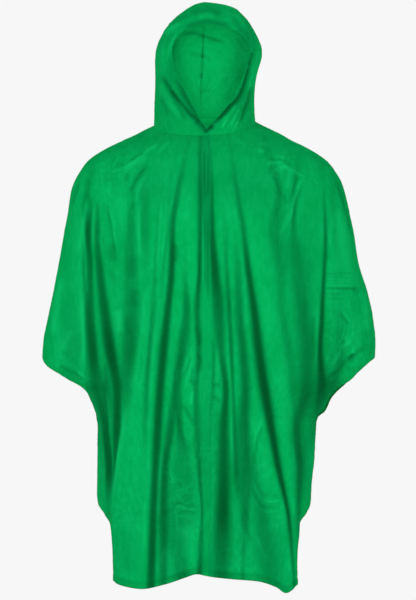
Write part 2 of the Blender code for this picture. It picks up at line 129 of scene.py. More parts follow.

# A fold runs down the body. At each of the heights below it has its place across, the breadth of
# its band of painted shade and its strength from 0 to 1, the first two in mm; the strength sets both
# its depth and how dark its painted shade is. Its steep wall faces +X in the middle of the band,
# with a rounded crest on its -X side and a trough on its +X side.
FOLD_HEIGHTS = (-50, -132, -214, -296, -378, -460, -542, -624, -706, -788, -870, -952)
Fold = namedtuple("Fold", "name across breadth strength")
FRONT_FOLDS = (
    Fold("sleeve_soft_right",
         (-231, -252, -270, -282, -286, -280, -278, -278, -278, -278, -278, -278),
         (10, 10, 12, 20, 30, 34, 30, 20, 20, 20, 20, 20),
         (0, 0.25, 0.1, 0.1, 0.25, 0.35, 0.1, 0, 0, 0, 0, 0)),
    Fold("sleeve_shelf_right",
         (-258, -258, -258, -256, -249, -245, -240, -231, -221, -221, -221, -221),
         (6, 6, 6, 6, 10, 14, 20, 16, 12, 12, 12, 12),
         (0, 0, 0, 0.5, 0.5, 0.5, 0.4, 0.3, 0, 0, 0, 0)),
    Fold("sleeve_inner_right",
         (-237, -241, -248, -243, -243, -238, -228, -215, -205, -205, -205, -205),
         (12, 12, 10, 11, 15, 17, 20, 12, 11, 10, 10, 10),
         (0, 0.1, 0.95, 0.78, 0.8, 0.92, 0.65, 0.9, 1, 0.3, 0, 0)),
    Fold("under_arm_right",
         (-229, -229, -229, -223, -213, -201, -187, -189, -196, -207, -213, -213),
         (8, 8, 9, 14, 19, 23, 16, 12, 7, 10, 10, 10),
         (0, 0, 0.6, 0.8, 0.85, 1, 0.9, 0.95, 0.65, 0.05, 0, 0)),
    Fold("side_soft_right",
         (-139, -155, -158, -159, -157, -162, -170, -172, -174, -174, -174, -174),
         (16, 12, 18, 28, 36, 30, 26, 16, 16, 16, 16, 16),
         (0, 0.1, 0.45, 0.4, 0.5, 0.7, 0.5, 0.05, 0, 0, 0, 0)),
    Fold("breast_upper_right",
         (-131, -131, -129, -127, -127, -127, -127, -127, -127, -127, -127, -127),
         (20, 20, 18, 16, 16, 16, 16, 16, 16, 16, 16, 16),
         (0, 0.2, 0.4, 0.15, 0, 0, 0, 0, 0, 0, 0, 0)),
    Fold("breast_line_right",
         (-88, -98, -102, -108, -112, -119, -125, -129, -131, -131, -131, -131),
         (8, 8, 8, 8, 12, 12, 12, 10, 10, 10, 10, 10),
         (0, 0, 0.25, 0.3, 0.35, 0.45, 0.5, 0.3, 0.05, 0, 0, 0)),
    Fold("breast_streak_right",
         (-73, -77, -81, -91, -96, -98, -98, -98, -98, -98, -98, -98),
         (8, 8, 8, 8, 8, 8, 8, 8, 8, 8, 8, 8),
         (0, 0.1, 0.3, 0.3, 0.1, 0, 0, 0, 0, 0, 0, 0)),
    Fold("long_breast_right",
         (-43, -61, -72, -74, -82, -91, -98, -103, -107, -111, -114, -117),
         (10, 12, 11, 14, 15, 19, 18, 18, 16, 15, 17, 17),
         (0.1, 0.5, 0.7, 0.85, 0.85, 0.9, 0.9, 0.9, 0.88, 0.9, 0.95, 0.85)),
    Fold("beside_opening_right",
         (-36, -40, -45, -47, -43, -53, -68, -77, -89, -91, -91, -92),
         (8, 8, 8, 10, 16, 24, 14, 18, 15, 20, 18, 16),
         (0, 0, 0, 0.2, 0.6, 0.55, 0.5, 0.75, 0.8, 0.8, 0.75, 0.5)),
    Fold("lower_middle_right",
         (-45, -45, -45, -45, -50, -53, -59, -57, -49, -49, -59, -46),
         (12, 12, 12, 12, 12, 12, 12, 14, 50, 50, 36, 30),
         (0, 0, 0, 0, 0, 0.2, 0.5, 0.6, 0.25, 0.3, 0.45, 0.6)),
    Fold("opening_edge",
         (-16, -16, -16, -17, -22, -19, -24, -22, -18, -12, -15, -19),
         (10, 12, 10, 9, 13, 12, 12, 16, 10, 6, 12, 11),
         (0.25, 0.4, 0.55, 0.7, 0.65, 0.55, 0.5, 0.5, 0.5, 0.5, 0.55, 0.8)),
    Fold("band_middle",
         (-4, -4, -4, -1, -1, -1, -1, -1, -1, -1, -1, -1),
         (20, 24, 14, 6, 6, 6, 6, 6, 6, 6, 6, 6),
         (0.1, 0.3, 0.25, 0.1, 0.05, 0, 0, 0, 0, 0, 0, 0)),
    Fold("beside_band",
         (7, 9, 9, 15, 23, 27, 37, 33, 33, 31, 28, 27),
         (6, 8, 13, 20, 25, 18, 14, 22, 29, 33, 42, 38),
         (0, 0.3, 0.7, 0.85, 0.7, 0.6, 0.8, 0.8, 0.85, 0.95, 0.7, 0.6)),
    Fold("band_second",
         (29, 31, 35, 38, 44, 48, 51, 55, 58, 62, 72, 70),
         (8, 8, 12, 10, 10, 9, 8, 10, 12, 12, 10, 10),
         (0, 0, 0.2, 0.35, 0.6, 0.65, 0.6, 0.6, 0.6, 0.1, 0.35, 0.35)),
    Fold("breast_soft_left",
         (46, 50, 54, 62, 64, 72, 77, 73, 75, 77, 78, 78),
         (12, 12, 12, 16, 19, 20, 22, 28, 34, 18, 12, 12),
         (0, 0, 0.05, 0.4, 0.6, 0.7, 0.7, 0.7, 0.65, 0.7, 0.1, 0)),
    Fold("hem_soft_left",
         (90, 90, 90, 90, 90, 90, 90, 90, 96, 108, 119, 130),
         (16, 16, 16, 16, 16, 16, 16, 18, 26, 34, 58, 60),
         (0, 0, 0, 0, 0, 0, 0, 0, 0.35, 0.45, 0.4, 0.25)),
    Fold("long_slanting_left",
         (48, 60, 73, 83, 95, 105, 117, 132, 147, 165, 177, 183),
         (8, 12, 13, 15, 20, 25, 27, 23, 19, 12, 10, 8),
         (0.1, 0.35, 0.5, 0.85, 0.9, 0.95, 1, 1, 1, 0.95, 0.6, 0.35)),
    Fold("plateau_edge_left",
         (124, 146, 138, 148, 152, 166, 173, 175, 175, 175, 175, 175),
         (16, 16, 26, 22, 16, 20, 16, 12, 12, 12, 12, 12),
         (0.1, 0.3, 0.3, 0.25, 0.2, 0.3, 0.3, 0, 0, 0, 0, 0)),
    Fold("side_soft_left",
         (189, 179, 178, 187, 197, 207, 203, 185, 193, 189, 189, 189),
         (12, 10, 12, 40, 32, 44, 40, 30, 30, 16, 16, 16),
         (0, 0.25, 0.25, 0.25, 0.4, 0.5, 0.55, 0.75, 0.85, 0.6, 0.15, 0)),
    Fold("under_arm_left",
         (240, 240, 244, 241, 237, 236, 241, 232, 226, 226, 226, 226),
         (8, 8, 10, 10, 12, 14, 28, 28, 20, 16, 16, 16),
         (0, 0.1, 0.5, 0.65, 0.85, 0.9, 1, 0.4, 0, 0, 0, 0)),
    Fold("sleeve_soft_left",
         (261, 259, 263, 269, 273, 275, 267, 267, 267, 267, 267, 267),
         (12, 12, 12, 16, 20, 25, 26, 20, 20, 20, 20, 20),
         (0, 0.1, 0.1, 0, 0.1, 0.3, 0.6, 0, 0, 0, 0, 0)),
)
BACK_FOLDS = (
    Fold("sleeve_right",
         (-262, -266, -270, -272, -270, -266, -262, -260, -260, -260, -260, -260),
         (10, 10, 12, 14, 18, 20, 22, 20, 20, 20, 20, 20),
         (0, 0.1, 0.3, 0.45, 0.4, 0.5, 0.3, 0, 0, 0, 0, 0)),
    Fold("arm_right",
         (-232, -238, -240, -238, -233, -227, -217, -208, -204, -202, -200, -200),
         (8, 10, 12, 14, 16, 20, 26, 24, 22, 20, 20, 20),
         (0, 0.15, 0.5, 0.7, 0.85, 0.95, 0.9, 0.6, 0.4, 0.2, 0.1, 0)),
    Fold("side_right",
         (-150, -168, -172, -174, -172, -169, -166, -164, -166, -168, -166, -168),
         (12, 14, 18, 22, 20, 24, 28, 24, 22, 26, 24, 22),
         (0.05, 0.25, 0.5, 0.7, 0.65, 0.7, 0.8, 0.85, 0.75, 0.8, 0.65, 0.55)),
    Fold("blade_soft_right",
         (-108, -117, -124, -129, -131, -132, -134, -137, -140, -142, -144, -146),
         (12, 16, 22, 26, 20, 18, 24, 28, 24, 18, 16, 16),
         (0, 0.2, 0.3, 0.2, 0.15, 0.25, 0.4, 0.45, 0.3, 0.15, 0.1, 0.1)),
    Fold("blade_right",
         (-60, -78, -88, -94, -98, -100, -101, -104, -110, -114, -117, -119),
         (8, 10, 12, 16, 18, 20, 18, 22, 26, 24, 22, 20),
         (0.1, 0.4, 0.7, 0.85, 0.9, 0.85, 0.8, 0.9, 0.95, 0.9, 0.85, 0.8)),
    Fold("spine_right",
         (-18, -24, -30, -35, -39, -42, -44, -46, -49, -52, -54, -55),
         (8, 10, 12, 14, 18, 22, 20, 18, 24, 28, 26, 22),
         (0, 0.05, 0.3, 0.5, 0.65, 0.5, 0.45, 0.6, 0.75, 0.7, 0.55, 0.45)),
    Fold("spine_middle",
         (6, 4, 2, -2, -6, -8, -10, -11, -12, -13, -14, -15),
         (6, 6, 8, 10, 12, 10, 8, 10, 12, 14, 12, 10),
         (0, 0.1, 0.2, 0.35, 0.3, 0.1, 0.15, 0.35, 0.45, 0.3, 0.35, 0.3)),
    Fold("spine_left",
         (26, 36, 36, 34, 31, 29, 28, 27, 28, 29, 31, 33),
         (8, 12, 14, 18, 20, 16, 18, 22, 24, 20, 22, 24),
         (0.05, 0.25, 0.55, 0.75, 0.7, 0.55, 0.7, 0.8, 0.7, 0.85, 0.75, 0.6)),
    Fold("blade_left",
         (66, 84, 92, 93, 91, 88, 85, 84, 84, 86, 88, 89),
         (8, 10, 14, 16, 14, 18, 22, 20, 18, 22, 26, 22),
         (0.15, 0.35, 0.6, 0.85, 0.8, 0.75, 0.8, 0.65, 0.75, 0.85, 0.8, 0.7)),
    Fold("blade_soft_left",
         (104, 120, 125, 124, 121, 119, 116, 114, 115, 117, 119, 120),
         (14, 18, 24, 20, 16, 20, 26, 22, 18, 16, 16, 16),
         (0, 0.15, 0.25, 0.3, 0.2, 0.15, 0.3, 0.3, 0.15, 0.2, 0.15, 0.1)),
    Fold("side_left",
         (148, 162, 164, 163, 160, 156, 152, 150, 151, 152, 152, 152),
         (10, 12, 16, 20, 24, 22, 20, 24, 28, 24, 22, 20),
         (0.05, 0.35, 0.6, 0.75, 0.85, 0.7, 0.65, 0.75, 0.85, 0.8, 0.7, 0.55)),
    Fold("arm_left",
         (226, 232, 235, 232, 225, 217, 207, 198, 192, 189, 187, 187),
         (8, 10, 12, 14, 16, 20, 24, 22, 20, 18, 18, 18),
         (0, 0.15, 0.5, 0.7, 0.85, 0.9, 0.8, 0.6, 0.4, 0.2, 0.05, 0)),
    Fold("sleeve_left",
         (258, 264, 268, 270, 268, 262, 256, 254, 254, 254, 254, 254),
         (10, 10, 12, 16, 20, 22, 20, 20, 20, 20, 20, 20),
         (0, 0.2, 0.35, 0.3, 0.5, 0.45, 0.3, 0, 0, 0, 0, 0)),
)

# Short creases: a smooth line through its points (across, height), how high it stands at its
# middle, below zero for a groove, and its half breadth, all in mm. Both ends fade out. A groove
# also lays painted shade on the film's green, and a ridge a painted highlight.
Crease = namedtuple("Crease", "name height breadth line")
FRONT_CREASES = (
    # right shoulder
    Crease("shoulder_ridge", 1.4, 3, ((-96, -29), (-118, -45), (-143, -64), (-168, -82))),
    Crease("shoulder_groove", -1.2, 2.5, ((-129, -52), (-143, -58), (-155, -66), (-165, -70))),
    Crease("shoulder_ridge_low", 1.4, 4, ((-118, -56), (-132, -66), (-147, -74), (-165, -82), (-184, -90))),
    Crease("shoulder_smudge", -0.8, 5, ((-172, -72), (-182, -78), (-194, -78))),
    Crease("shoulder_dart", -2.2, 3, ((-124, -78), (-137, -93), (-146, -107), (-153, -121), (-164, -140))),
    Crease("shoulder_dart_lip", 1.6, 3,
           ((-126, -97), (-133, -111), (-141, -127), (-147, -144), (-151, -162))),
    Crease("shoulder_dash_first", 0.5, 2.4, ((-135, -53), (-118, -43), (-102, -39))),
    Crease("shoulder_dash_second", 1.0, 2.4, ((-200, -96), (-188, -88), (-176, -86))),
    Crease("shoulder_dash_third", -0.9, 2.4, ((-212, -112), (-200, -108), (-190, -112))),
    Crease("shoulder_dash_fourth", 0.3, 3, ((-224, -132), (-212, -124), (-204, -130), (-198, -144))),
    Crease("shoulder_short", -1.2, 3, ((-165, -92), (-168, -104), (-165, -116))),
    Crease("shoulder_fold_in", -1.2, 2.5, ((-147, -130), (-151, -152), (-156, -176))),
    Crease("shoulder_upper_streak", 1.0, 2.5, ((-80, -27), (-92, -42), (-106, -56))),
    # right sleeve
    Crease("sleeve_top_groove", -1.2, 4,
           ((-252, -95), (-251, -112), (-250, -132), (-246, -155), (-243, -170))),
    Crease("sleeve_top_lip", 1.2, 2.5, ((-237, -162), (-235, -200), (-234, -240))),
    Crease("shoulder_edge_right", -1.6, 2.5, ((-267, -110), (-276, -132), (-284, -162))),
    Crease("sleeve_shine_right", 1.1, 7, ((-246, -140), (-258, -185), (-263, -230), (-268, -270))),
    Crease("sleeve_edge_right", 1.3, 6, ((-300, -300), (-312, -350), (-318, -400), (-322, -440))),
    Crease("sleeve_fork", -1.3, 3, ((-252, -132), (-258, -160), (-256, -190))),
    Crease("sleeve_thin", -1.0, 2.2, ((-229, -150), (-227, -190), (-225, -230))),
    Crease("sleeve_pull", -1.6, 2.6, ((-209, -152), (-202, -190), (-196, -225), (-190, -262))),
    Crease("sleeve_pull_lip", 1.2, 2.2, ((-205, -160), (-196, -198), (-190, -236), (-184, -266))),
    Crease("sleeve_blot", -1.6, 7, ((-194, -238), (-196, -262), (-192, -282))),
    Crease("sleeve_blot_low", -1.0, 5, ((-204, -292), (-196, -310), (-186, -322))),
    Crease("sleeve_shelf_lip", 1.6, 5, ((-261, -330), (-259, -390), (-258, -450), (-262, -505))),
    Crease("sleeve_low_streak", 1.2, 5, ((-280, -416), (-292, -440), (-303, -466))),
    Crease("elbow_groove", -1.3, 3, ((-216, -480), (-211, -505), (-214, -535), (-221, -560))),
    Crease("elbow_lip", 0.4, 4, ((-198, -520), (-196, -552), (-199, -590))),
    Crease("elbow_groove_low", -1.0, 3, ((-197, -545), (-196, -590), (-195, -640))),
    Crease("under_arm_line", 1.4, 2.2, ((-226, -515), (-226, -545), (-219, -578), (-213, -612))),
    Crease("under_arm_line_inner", 1.2, 2.0, ((-214, -540), (-209, -575), (-206, -615), (-207, -650))),
    Crease("arm_blot", -1.4, 7, ((-152, -262), (-156, -292), (-150, -318))),
    Crease("arm_blot_mid", -1.4, 6, ((-147, -330), (-153, -352), (-148, -374))),
    Crease("arm_blot_low", -1.2, 6, ((-158, -385), (-163, -410), (-158, -432))),
    Crease("arm_shine", 1.6, 8, ((-184, -372), (-182, -400), (-184, -430))),
    # right breast, beside the long fold
    Crease("breast_first", 1.2, 2.5, ((-94, -142), (-97, -185), (-101, -240), (-104, -300))),
    Crease("breast_second", 1.2, 2.2, ((-80, -134), (-86, -175), (-92, -235), (-95, -290))),
    Crease("breast_second_groove", -1.0, 2.2, ((-84, -150), (-90, -200), (-96, -262), (-99, -300))),
    Crease("breast_third", 1.0, 2.2, ((-71, -140), (-79, -176), (-84, -230))),
    Crease("breast_pull", 1.2, 3, ((-139, -150), (-142, -185), (-140, -232), (-143, -275))),
    Crease("breast_left_lip", 0.8, 3,
           ((-131, -335), (-136, -400), (-143, -460), (-151, -520), (-158, -562))),
    Crease("breast_middle_groove", -1.2, 3, ((-113, -350), (-115, -400), (-121, -470), (-126, -540))),
    Crease("breast_middle_lip", 1.2, 3, ((-108, -390), (-113, -450), (-118, -520), (-119, -575))),
    Crease("breast_tip", -1.8, 4, ((-69, -238), (-66, -262), (-67, -285))),
    Crease("trough_ridge", 2.0, 4, ((-94, -650), (-97, -690), (-99, -730), (-101, -775), (-105, -820))),
    Crease("side_crest", 1.5, 4, ((-171, -560), (-176, -620), (-187, -685), (-200, -745), (-205, -790))),
    Crease("plateau_line", 0.9, 3, ((-128, -760), (-130, -820), (-132, -880))),
    # over the opening
    Crease("band_top_ridge_outer", 1.1, 1.7, ((-11, -26), (-11, -80), (-12, -140))),
    Crease("band_top_ridge_inner", 1.2, 1.5, ((-2, -26), (-2, -80), (-3, -140))),
    Crease("band_top_groove", -1.3, 1.5, ((-6, -36), (-6, -90), (-5, -160))),
    Crease("band_top_groove_inner", -1.3, 1.5, ((1, -46), (1, -100), (1, -150))),
    Crease("band_line_outer", -2.2, 1.7, ((-5, -170), (-5, -240), (-6, -300), (-4, -345))),
    Crease("band_line_inner", -2.4, 1.7, ((1, -165), (0, -235), (0, -305), (1, -370))),
    Crease("band_ridge_outer", 0.9, 1.6, ((-10, -180), (-10, -250), (-9, -330))),
    Crease("band_ridge_inner", 0.9, 1.6, ((4, -175), (4, -250), (4, -340))),
    Crease("opening_wiggle", -1.8, 3, ((-24, -405), (-20, -422), (-16, -436), (-20, -455))),
    Crease("opening_wiggle_low", -1.5, 3, ((-22, -462), (-15, -482), (-18, -506))),
    # the diamond right of the opening
    Crease("diamond", -2.0, 3,
           ((-43, -449), (-57, -476), (-67, -511), (-67, -552), (-61, -600), (-54, -632), (-40, -645),
            (-24, -648))),
    Crease("diamond_first", 1.0, 2, ((-37, -462), (-46, -490), (-58, -512), (-66, -530))),
    Crease("diamond_first_groove", -1.3, 2, ((-34, -468), (-42, -495), (-53, -516))),
    Crease("diamond_second", 1.0, 2, ((-31, -475), (-38, -505), (-45, -525), (-49, -548))),
    Crease("diamond_third", -1.4, 2.4, ((-30, -490), (-32, -512), (-36, -532))),
    Crease("diamond_cross", -1.2, 2.6, ((-36, -520), (-28, -528), (-16, -520))),
    Crease("diamond_inner", -1.6, 3, ((-54, -568), (-44, -584), (-36, -598), (-30, -610))),
    Crease("diamond_glint", 1.4, 3, ((-30, -540), (-33, -560), (-36, -574))),
    # left of the opening
    Crease("band_shadow", -1.8, 2.6, ((9, -420), (12, -480), (12, -532), (9, -590))),
    Crease("triangle_shine", 1.6, 4, ((20, -452), (22, -480), (24, -510))),
    Crease("crumple_line", -1.4, 2.4, ((10, -530), (18, -531), (27, -528))),
    Crease("crumple_glint", 0.8, 3, ((14, -540), (22, -546), (28, -556))),
    Crease("crumple_low", -1.0, 3, ((12, -552), (20, -562), (28, -566))),
    Crease("narrow_crest", 1.7, 3.2,
           ((41, -455), (46, -520), (50, -580), (48, -622), (50, -665), (54, -720))),
    Crease("narrow_crest_low", 0.3, 4.2, ((50, -700), (54, -750), (57, -800), (58, -860), (58, -895))),
    Crease("breast_thin_line", -1.2, 2, ((34, -240), (40, -290), (44, -350), (47, -400))),
    Crease("left_fan_first", 0.4, 2.6, ((82, -565), (88, -595), (97, -625), (100, -650))),
    Crease("left_fan_second", 0.8, 2.4, ((118, -570), (112, -600), (101, -630), (96, -660), (92, -690))),
    Crease("left_fan_groove", -1.4, 3, ((112, -610), (104, -640), (98, -672), (97, -700))),
    Crease("fan_line_first", 0.6, 1.8, ((87, -595), (97, -628), (99, -660), (106, -701), (118, -742))),
    Crease("fan_line_second", 0.6, 1.8, ((104, -599), (106, -644), (104, -685), (111, -726))),
    Crease("fan_line_third", 0.8, 2, ((72, -574), (75, -640), (74, -693))),
    Crease("fan_line_dark", -0.9, 2, ((80, -588), (85, -640), (84, -690), (88, -730))),
    Crease("fan_line_low", 0.9, 2, ((64, -751), (80, -780), (91, -808))),
    Crease("low_curl", 1.0, 2.4, ((59, -808), (70, -841), (65, -874))),
    Crease("low_diagonal", 0.8, 3, ((98, -833), (114, -872), (132, -892))),
    Crease("hang_line_left", -1.0, 2.2, ((192, -600), (196, -650), (195, -705))),
    Crease("hang_lip_left", 0.9, 2.4, ((200, -620), (204, -670), (202, -730))),
    Crease("arc_first", -0.9, 2, ((97, -712), (104, -738), (116, -755), (133, -759), (150, -757))),
    Crease("arc_second", 1.1, 1.9, ((94, -724), (104, -752), (118, -768), (136, -770), (154, -765))),
    Crease("arc_third", -0.9, 2, ((90, -738), (101, -764), (119, -780), (138, -781), (156, -777))),
    Crease("arc_fourth", 0.9, 1.9, ((88, -754), (104, -779), (120, -790), (138, -791), (158, -787))),
    Crease("middle_shine_upper", 0.9, 8, ((-68, -742), (-58, -768), (-50, -796))),
    Crease("middle_low_shine", 0.9, 10, ((-38, -770), (-42, -812), (-40, -852))),
    Crease("left_streak", 1.1, 2.6, ((86, -700), (80, -740), (84, -790))),
    Crease("left_streak_low", -1.2, 3, ((68, -790), (78, -825), (92, -858))),
    Crease("side_edge", 0.6, 3, ((169, -560), (174, -640), (180, -710), (184, -780))),
    # packing marks over the middle
    Crease("pack_first", -1.5, 1.8, ((-76, -776), (-57, -772), (-40, -780), (-20, -778))),
    Crease("pack_first_lip", 1.3, 1.8, ((-72, -782), (-55, -778), (-38, -786), (-18, -784))),
    Crease("pack_second", -1.3, 1.8, ((-62, -790), (-42, -789), (-22, -796))),
    Crease("pack_third", 1.1, 1.8, ((-66, -798), (-48, -800), (-28, -806))),
    Crease("pack_upright", 1.4, 2.6, ((-67, -782), (-63, -806), (-62, -834))),
    Crease("pack_low_shine", 1.0, 11, ((-52, -812), (-48, -845), (-42, -885))),
    Crease("hem_crumple", 1.4, 5, ((-84, -858), (-90, -880), (-96, -900))),
    # left shoulder
    Crease("shoulder_vee_in", -1.2, 3, ((128, -90), (142, -112), (151, -135), (161, -152), (168, -168))),
    Crease("shoulder_vee_out", -1.4, 2.6, ((191, -94), (182, -116), (174, -140), (167, -164))),
    Crease("shoulder_vee_lip", 1.5, 2.6, ((197, -98), (188, -122), (180, -148), (172, -180), (164, -210))),
    Crease("shoulder_vee_low", -1.4, 3, ((202, -112), (191, -134), (184, -158), (178, -190), (175, -224))),
    Crease("shoulder_vee_tail", 1.1, 2.6, ((167, -176), (158, -204), (150, -228))),
    Crease("shoulder_vee_ridge", 1.2, 3, ((171, -86), (167, -112), (162, -132))),
    Crease("shoulder_tick", 1.4, 3, ((103, -43), (110, -50), (118, -48))),
    Crease("shoulder_stroke_first", 1.6, 3, ((119, -80), (131, -74), (148, -72), (158, -76))),
    Crease("shoulder_stroke_second", -1.2, 2.6, ((122, -88), (138, -84), (152, -86))),
    Crease("shoulder_stroke_third", 1.4, 3, ((130, -92), (142, -86), (156, -82), (170, -84))),
    Crease("shoulder_dash_left", 1.1, 2.4, ((151, -81), (167, -86), (184, -94), (200, -104))),
    Crease("shoulder_dash_upper", 1.0, 2.2, ((105, -38), (118, -33), (128, -36))),
    Crease("shoulder_dash_dark", -1.0, 2.4, ((118, -94), (134, -92), (148, -98))),
    Crease("shoulder_stroke_fourth", 1.2, 3, ((136, -64), (150, -62), (160, -66))),
    Crease("shoulder_stroke_fifth", -1.2, 3, ((124, -70), (140, -66), (160, -70), (178, -80))),
    # left sleeve
    Crease("shoulder_edge_left", -1.8, 3, ((266, -98), (276, -130), (285, -160), (293, -190), (300, -228))),
    Crease("sleeve_shine_left", 1.3, 9, ((264, -150), (279, -205), (288, -255), (293, -296), (297, -340))),
    Crease("sleeve_edge_left", 1.2, 5, ((322, -330), (330, -380), (334, -430))),
    Crease("sleeve_line", -1.1, 2, ((240, -175), (242, -214), (240, -255))),
    Crease("sleeve_line_lip", 1.1, 2.4, ((247, -190), (250, -220), (254, -250))),
    Crease("sleeve_inner_groove", -1.2, 2.4, ((220, -378), (220, -440), (220, -495))),
    Crease("sleeve_inner_lip", 1.4, 2.4, ((228, -360), (227, -430), (226, -520))),
    Crease("sleeve_pack_top", -1.1, 1.8, ((240, -301), (263, -303), (290, -302), (306, -303))),
    Crease("sleeve_pack_second", -0.9, 1.8, ((247, -310), (275, -309), (300, -312))),
    Crease("sleeve_pack_main", -2.0, 1.8, ((238, -333), (263, -333), (296, -333), (320, -333))),
    Crease("sleeve_pack_lip", 0.9, 1.8, ((240, -328), (270, -328), (304, -328))),
    Crease("sleeve_pack_blot", -1.0, 5, ((300, -336), (312, -338), (318, -342))),
    Crease("sleeve_pack_low", -1.2, 1.8, ((242, -344), (262, -345), (282, -343))),
    Crease("sleeve_pack_fourth", -1.1, 1.8, ((242, -356), (262, -354), (284, -356))),
    Crease("sleeve_tick", -1.9, 2.6, ((275, -382), (284, -394), (294, -409))),
    Crease("sleeve_tick_lip", 1.2, 2.4, ((278, -380), (288, -393), (298, -407))),
    Crease("sleeve_curve", 1.0, 3, ((286, -422), (290, -442), (277, -460), (266, -484), (258, -498))),
    Crease("sleeve_ray_first", 1.3, 3, ((252, -470), (249, -488), (245, -503))),
    Crease("sleeve_ray_second", -1.2, 3, ((260, -466), (254, -486), (248, -506))),
    Crease("sleeve_ray_third", 1.2, 3, ((272, -462), (264, -478), (257, -496))),
    Crease("sleeve_corner_groove", -1.8, 3.4,
           ((339, -446), (322, -458), (303, -474), (284, -493), (262, -513), (242, -533), (231, -556))),
    Crease("sleeve_corner_glint", 0.9, 4, ((300, -440), (290, -452), (282, -468))),
    Crease("sleeve_corner_blot", -1.8, 5, ((302, -466), (300, -476), (294, -484))),
    Crease("right_sleeve_groove", -1.6, 3, ((-312, -488), (-292, -502), (-272, -514), (-256, -522))),
    Crease("right_sleeve_glint", 1.6, 3, ((-270, -506), (-263, -511), (-257, -516))),
)
BACK_CREASES = (
    Crease("shoulder_ridge_right", 1.4, 4, ((-100, -30), (-128, -52), (-152, -76))),
    Crease("shoulder_groove_right", -1.4, 3, ((-120, -40), (-146, -60), (-168, -84))),
    Crease("shoulder_dart_right", -2.4, 3, ((-122, -92), (-136, -116), (-146, -142))),
    Crease("shoulder_lip_right", 1.4, 3, ((-130, -88), (-145, -114), (-154, -140))),
    Crease("shoulder_stroke_right", 1.2, 3, ((-176, -70), (-194, -86), (-206, -106))),
    Crease("shoulder_dart_left", -2.2, 3, ((118, -84), (134, -112), (143, -146))),
    Crease("shoulder_lip_left", 1.4, 3, ((126, -84), (142, -110), (152, -142))),
    Crease("shoulder_ridge_left", 1.4, 4, ((108, -36), (134, -58), (160, -84))),
    Crease("shoulder_vee_left", -1.6, 3, ((196, -98), (186, -124), (180, -152), (178, -188))),
    Crease("shoulder_stroke_left", 1.3, 3, ((150, -66), (170, -72), (190, -88))),
    Crease("neck_pleat_first", 1.2, 2.4, ((-44, -30), (-50, -70), (-58, -112))),
    Crease("neck_pleat_second", -1.2, 2.4, ((-8, -26), (-10, -76), (-14, -130))),
    Crease("neck_pleat_third", 1.2, 2.4, ((14, -28), (18, -74), (18, -128))),
    Crease("neck_pleat_fourth", 1.1, 2.4, ((50, -30), (58, -76), (66, -118))),
    Crease("blade_line_right", 1.2, 2.6, ((-70, -160), (-76, -220), (-80, -290), (-84, -350))),
    Crease("blade_groove_right", -1.3, 2.6, ((-112, -250), (-116, -320), (-118, -400))),
    Crease("blade_line_left", 1.2, 2.6, ((72, -170), (76, -240), (74, -320), (72, -380))),
    Crease("blade_groove_left", -1.3, 2.6, ((108, -220), (108, -300), (104, -390))),
    Crease("side_line_right", 1.3, 3, ((-150, -300), (-150, -380), (-146, -460), (-148, -540))),
    Crease("side_line_left", 1.3, 3, ((140, -330), (136, -410), (132, -500), (130, -580))),
    Crease("waist_ray_first", 1.3, 2.6, ((2, -430), (-4, -470), (-14, -510), (-20, -546))),
    Crease("waist_ray_second", -1.4, 2.6, ((8, -440), (3, -480), (-4, -524))),
    Crease("waist_ray_third", 1.3, 2.6, ((14, -450), (12, -492), (8, -540), (10, -580))),
    Crease("waist_cross", -1.2, 2.4, ((-26, -560), (-12, -570), (6, -574))),
    Crease("middle_pack", -1.2, 1.8, ((-70, -590), (-20, -593), (30, -590), (84, -596))),
    Crease("middle_pack_lip", 1.0, 1.8, ((-66, -596), (-20, -599), (28, -596), (78, -602))),
    Crease("low_pack", -1.3, 1.8, ((-60, -782), (-10, -786), (46, -783))),
    Crease("low_pack_lip", 1.1, 1.8, ((-56, -788), (-8, -792), (42, -789))),
    Crease("low_arc", -1.3, 2.4, ((96, -712), (102, -740), (118, -762), (142, -768))),
    Crease("low_arc_lip", 1.2, 2.4, ((92, -722), (100, -752), (118, -775), (144, -781))),
    Crease("low_streak_right", 1.2, 3, ((-136, -690), (-140, -760), (-142, -840), (-140, -890))),
    Crease("low_streak_left", 1.2, 3, ((60, -640), (58, -720), (60, -800), (62, -880))),
    Crease("sleeve_shine_back_right", 1.5, 8, ((-250, -140), (-268, -200), (-282, -270), (-292, -330))),
    Crease("sleeve_edge_back_right", -1.4, 5, ((-286, -210), (-300, -280), (-312, -350), (-322, -420))),
    Crease("sleeve_shine_back_left", 1.4, 8, ((246, -150), (266, -220), (278, -290), (290, -360))),
    Crease("sleeve_edge_back_left", -1.4, 5, ((290, -230), (306, -300), (318, -380), (324, -430))),
    Crease("sleeve_pull_right", -1.9, 3.4, ((-290, -330), (-280, -380), (-266, -430))),
    Crease("sleeve_pull_lip_right", 1.3, 3, ((-298, -336), (-288, -390), (-274, -442))),
    Crease("sleeve_tick_right", -1.6, 2.6, ((-300, -420), (-290, -440), (-278, -456))),
    Crease("sleeve_pull_left", -1.9, 3.4, ((292, -330), (282, -385), (266, -440))),
    Crease("sleeve_pull_lip_left", 1.3, 3, ((300, -336), (291, -392), (276, -448))),
    Crease("sleeve_pack_left", -1.4, 1.8, ((244, -280), (270, -281), (304, -280))),
    Crease("sleeve_pack_right", -1.4, 1.8, ((-244, -288), (-272, -288), (-300, -290))),
)
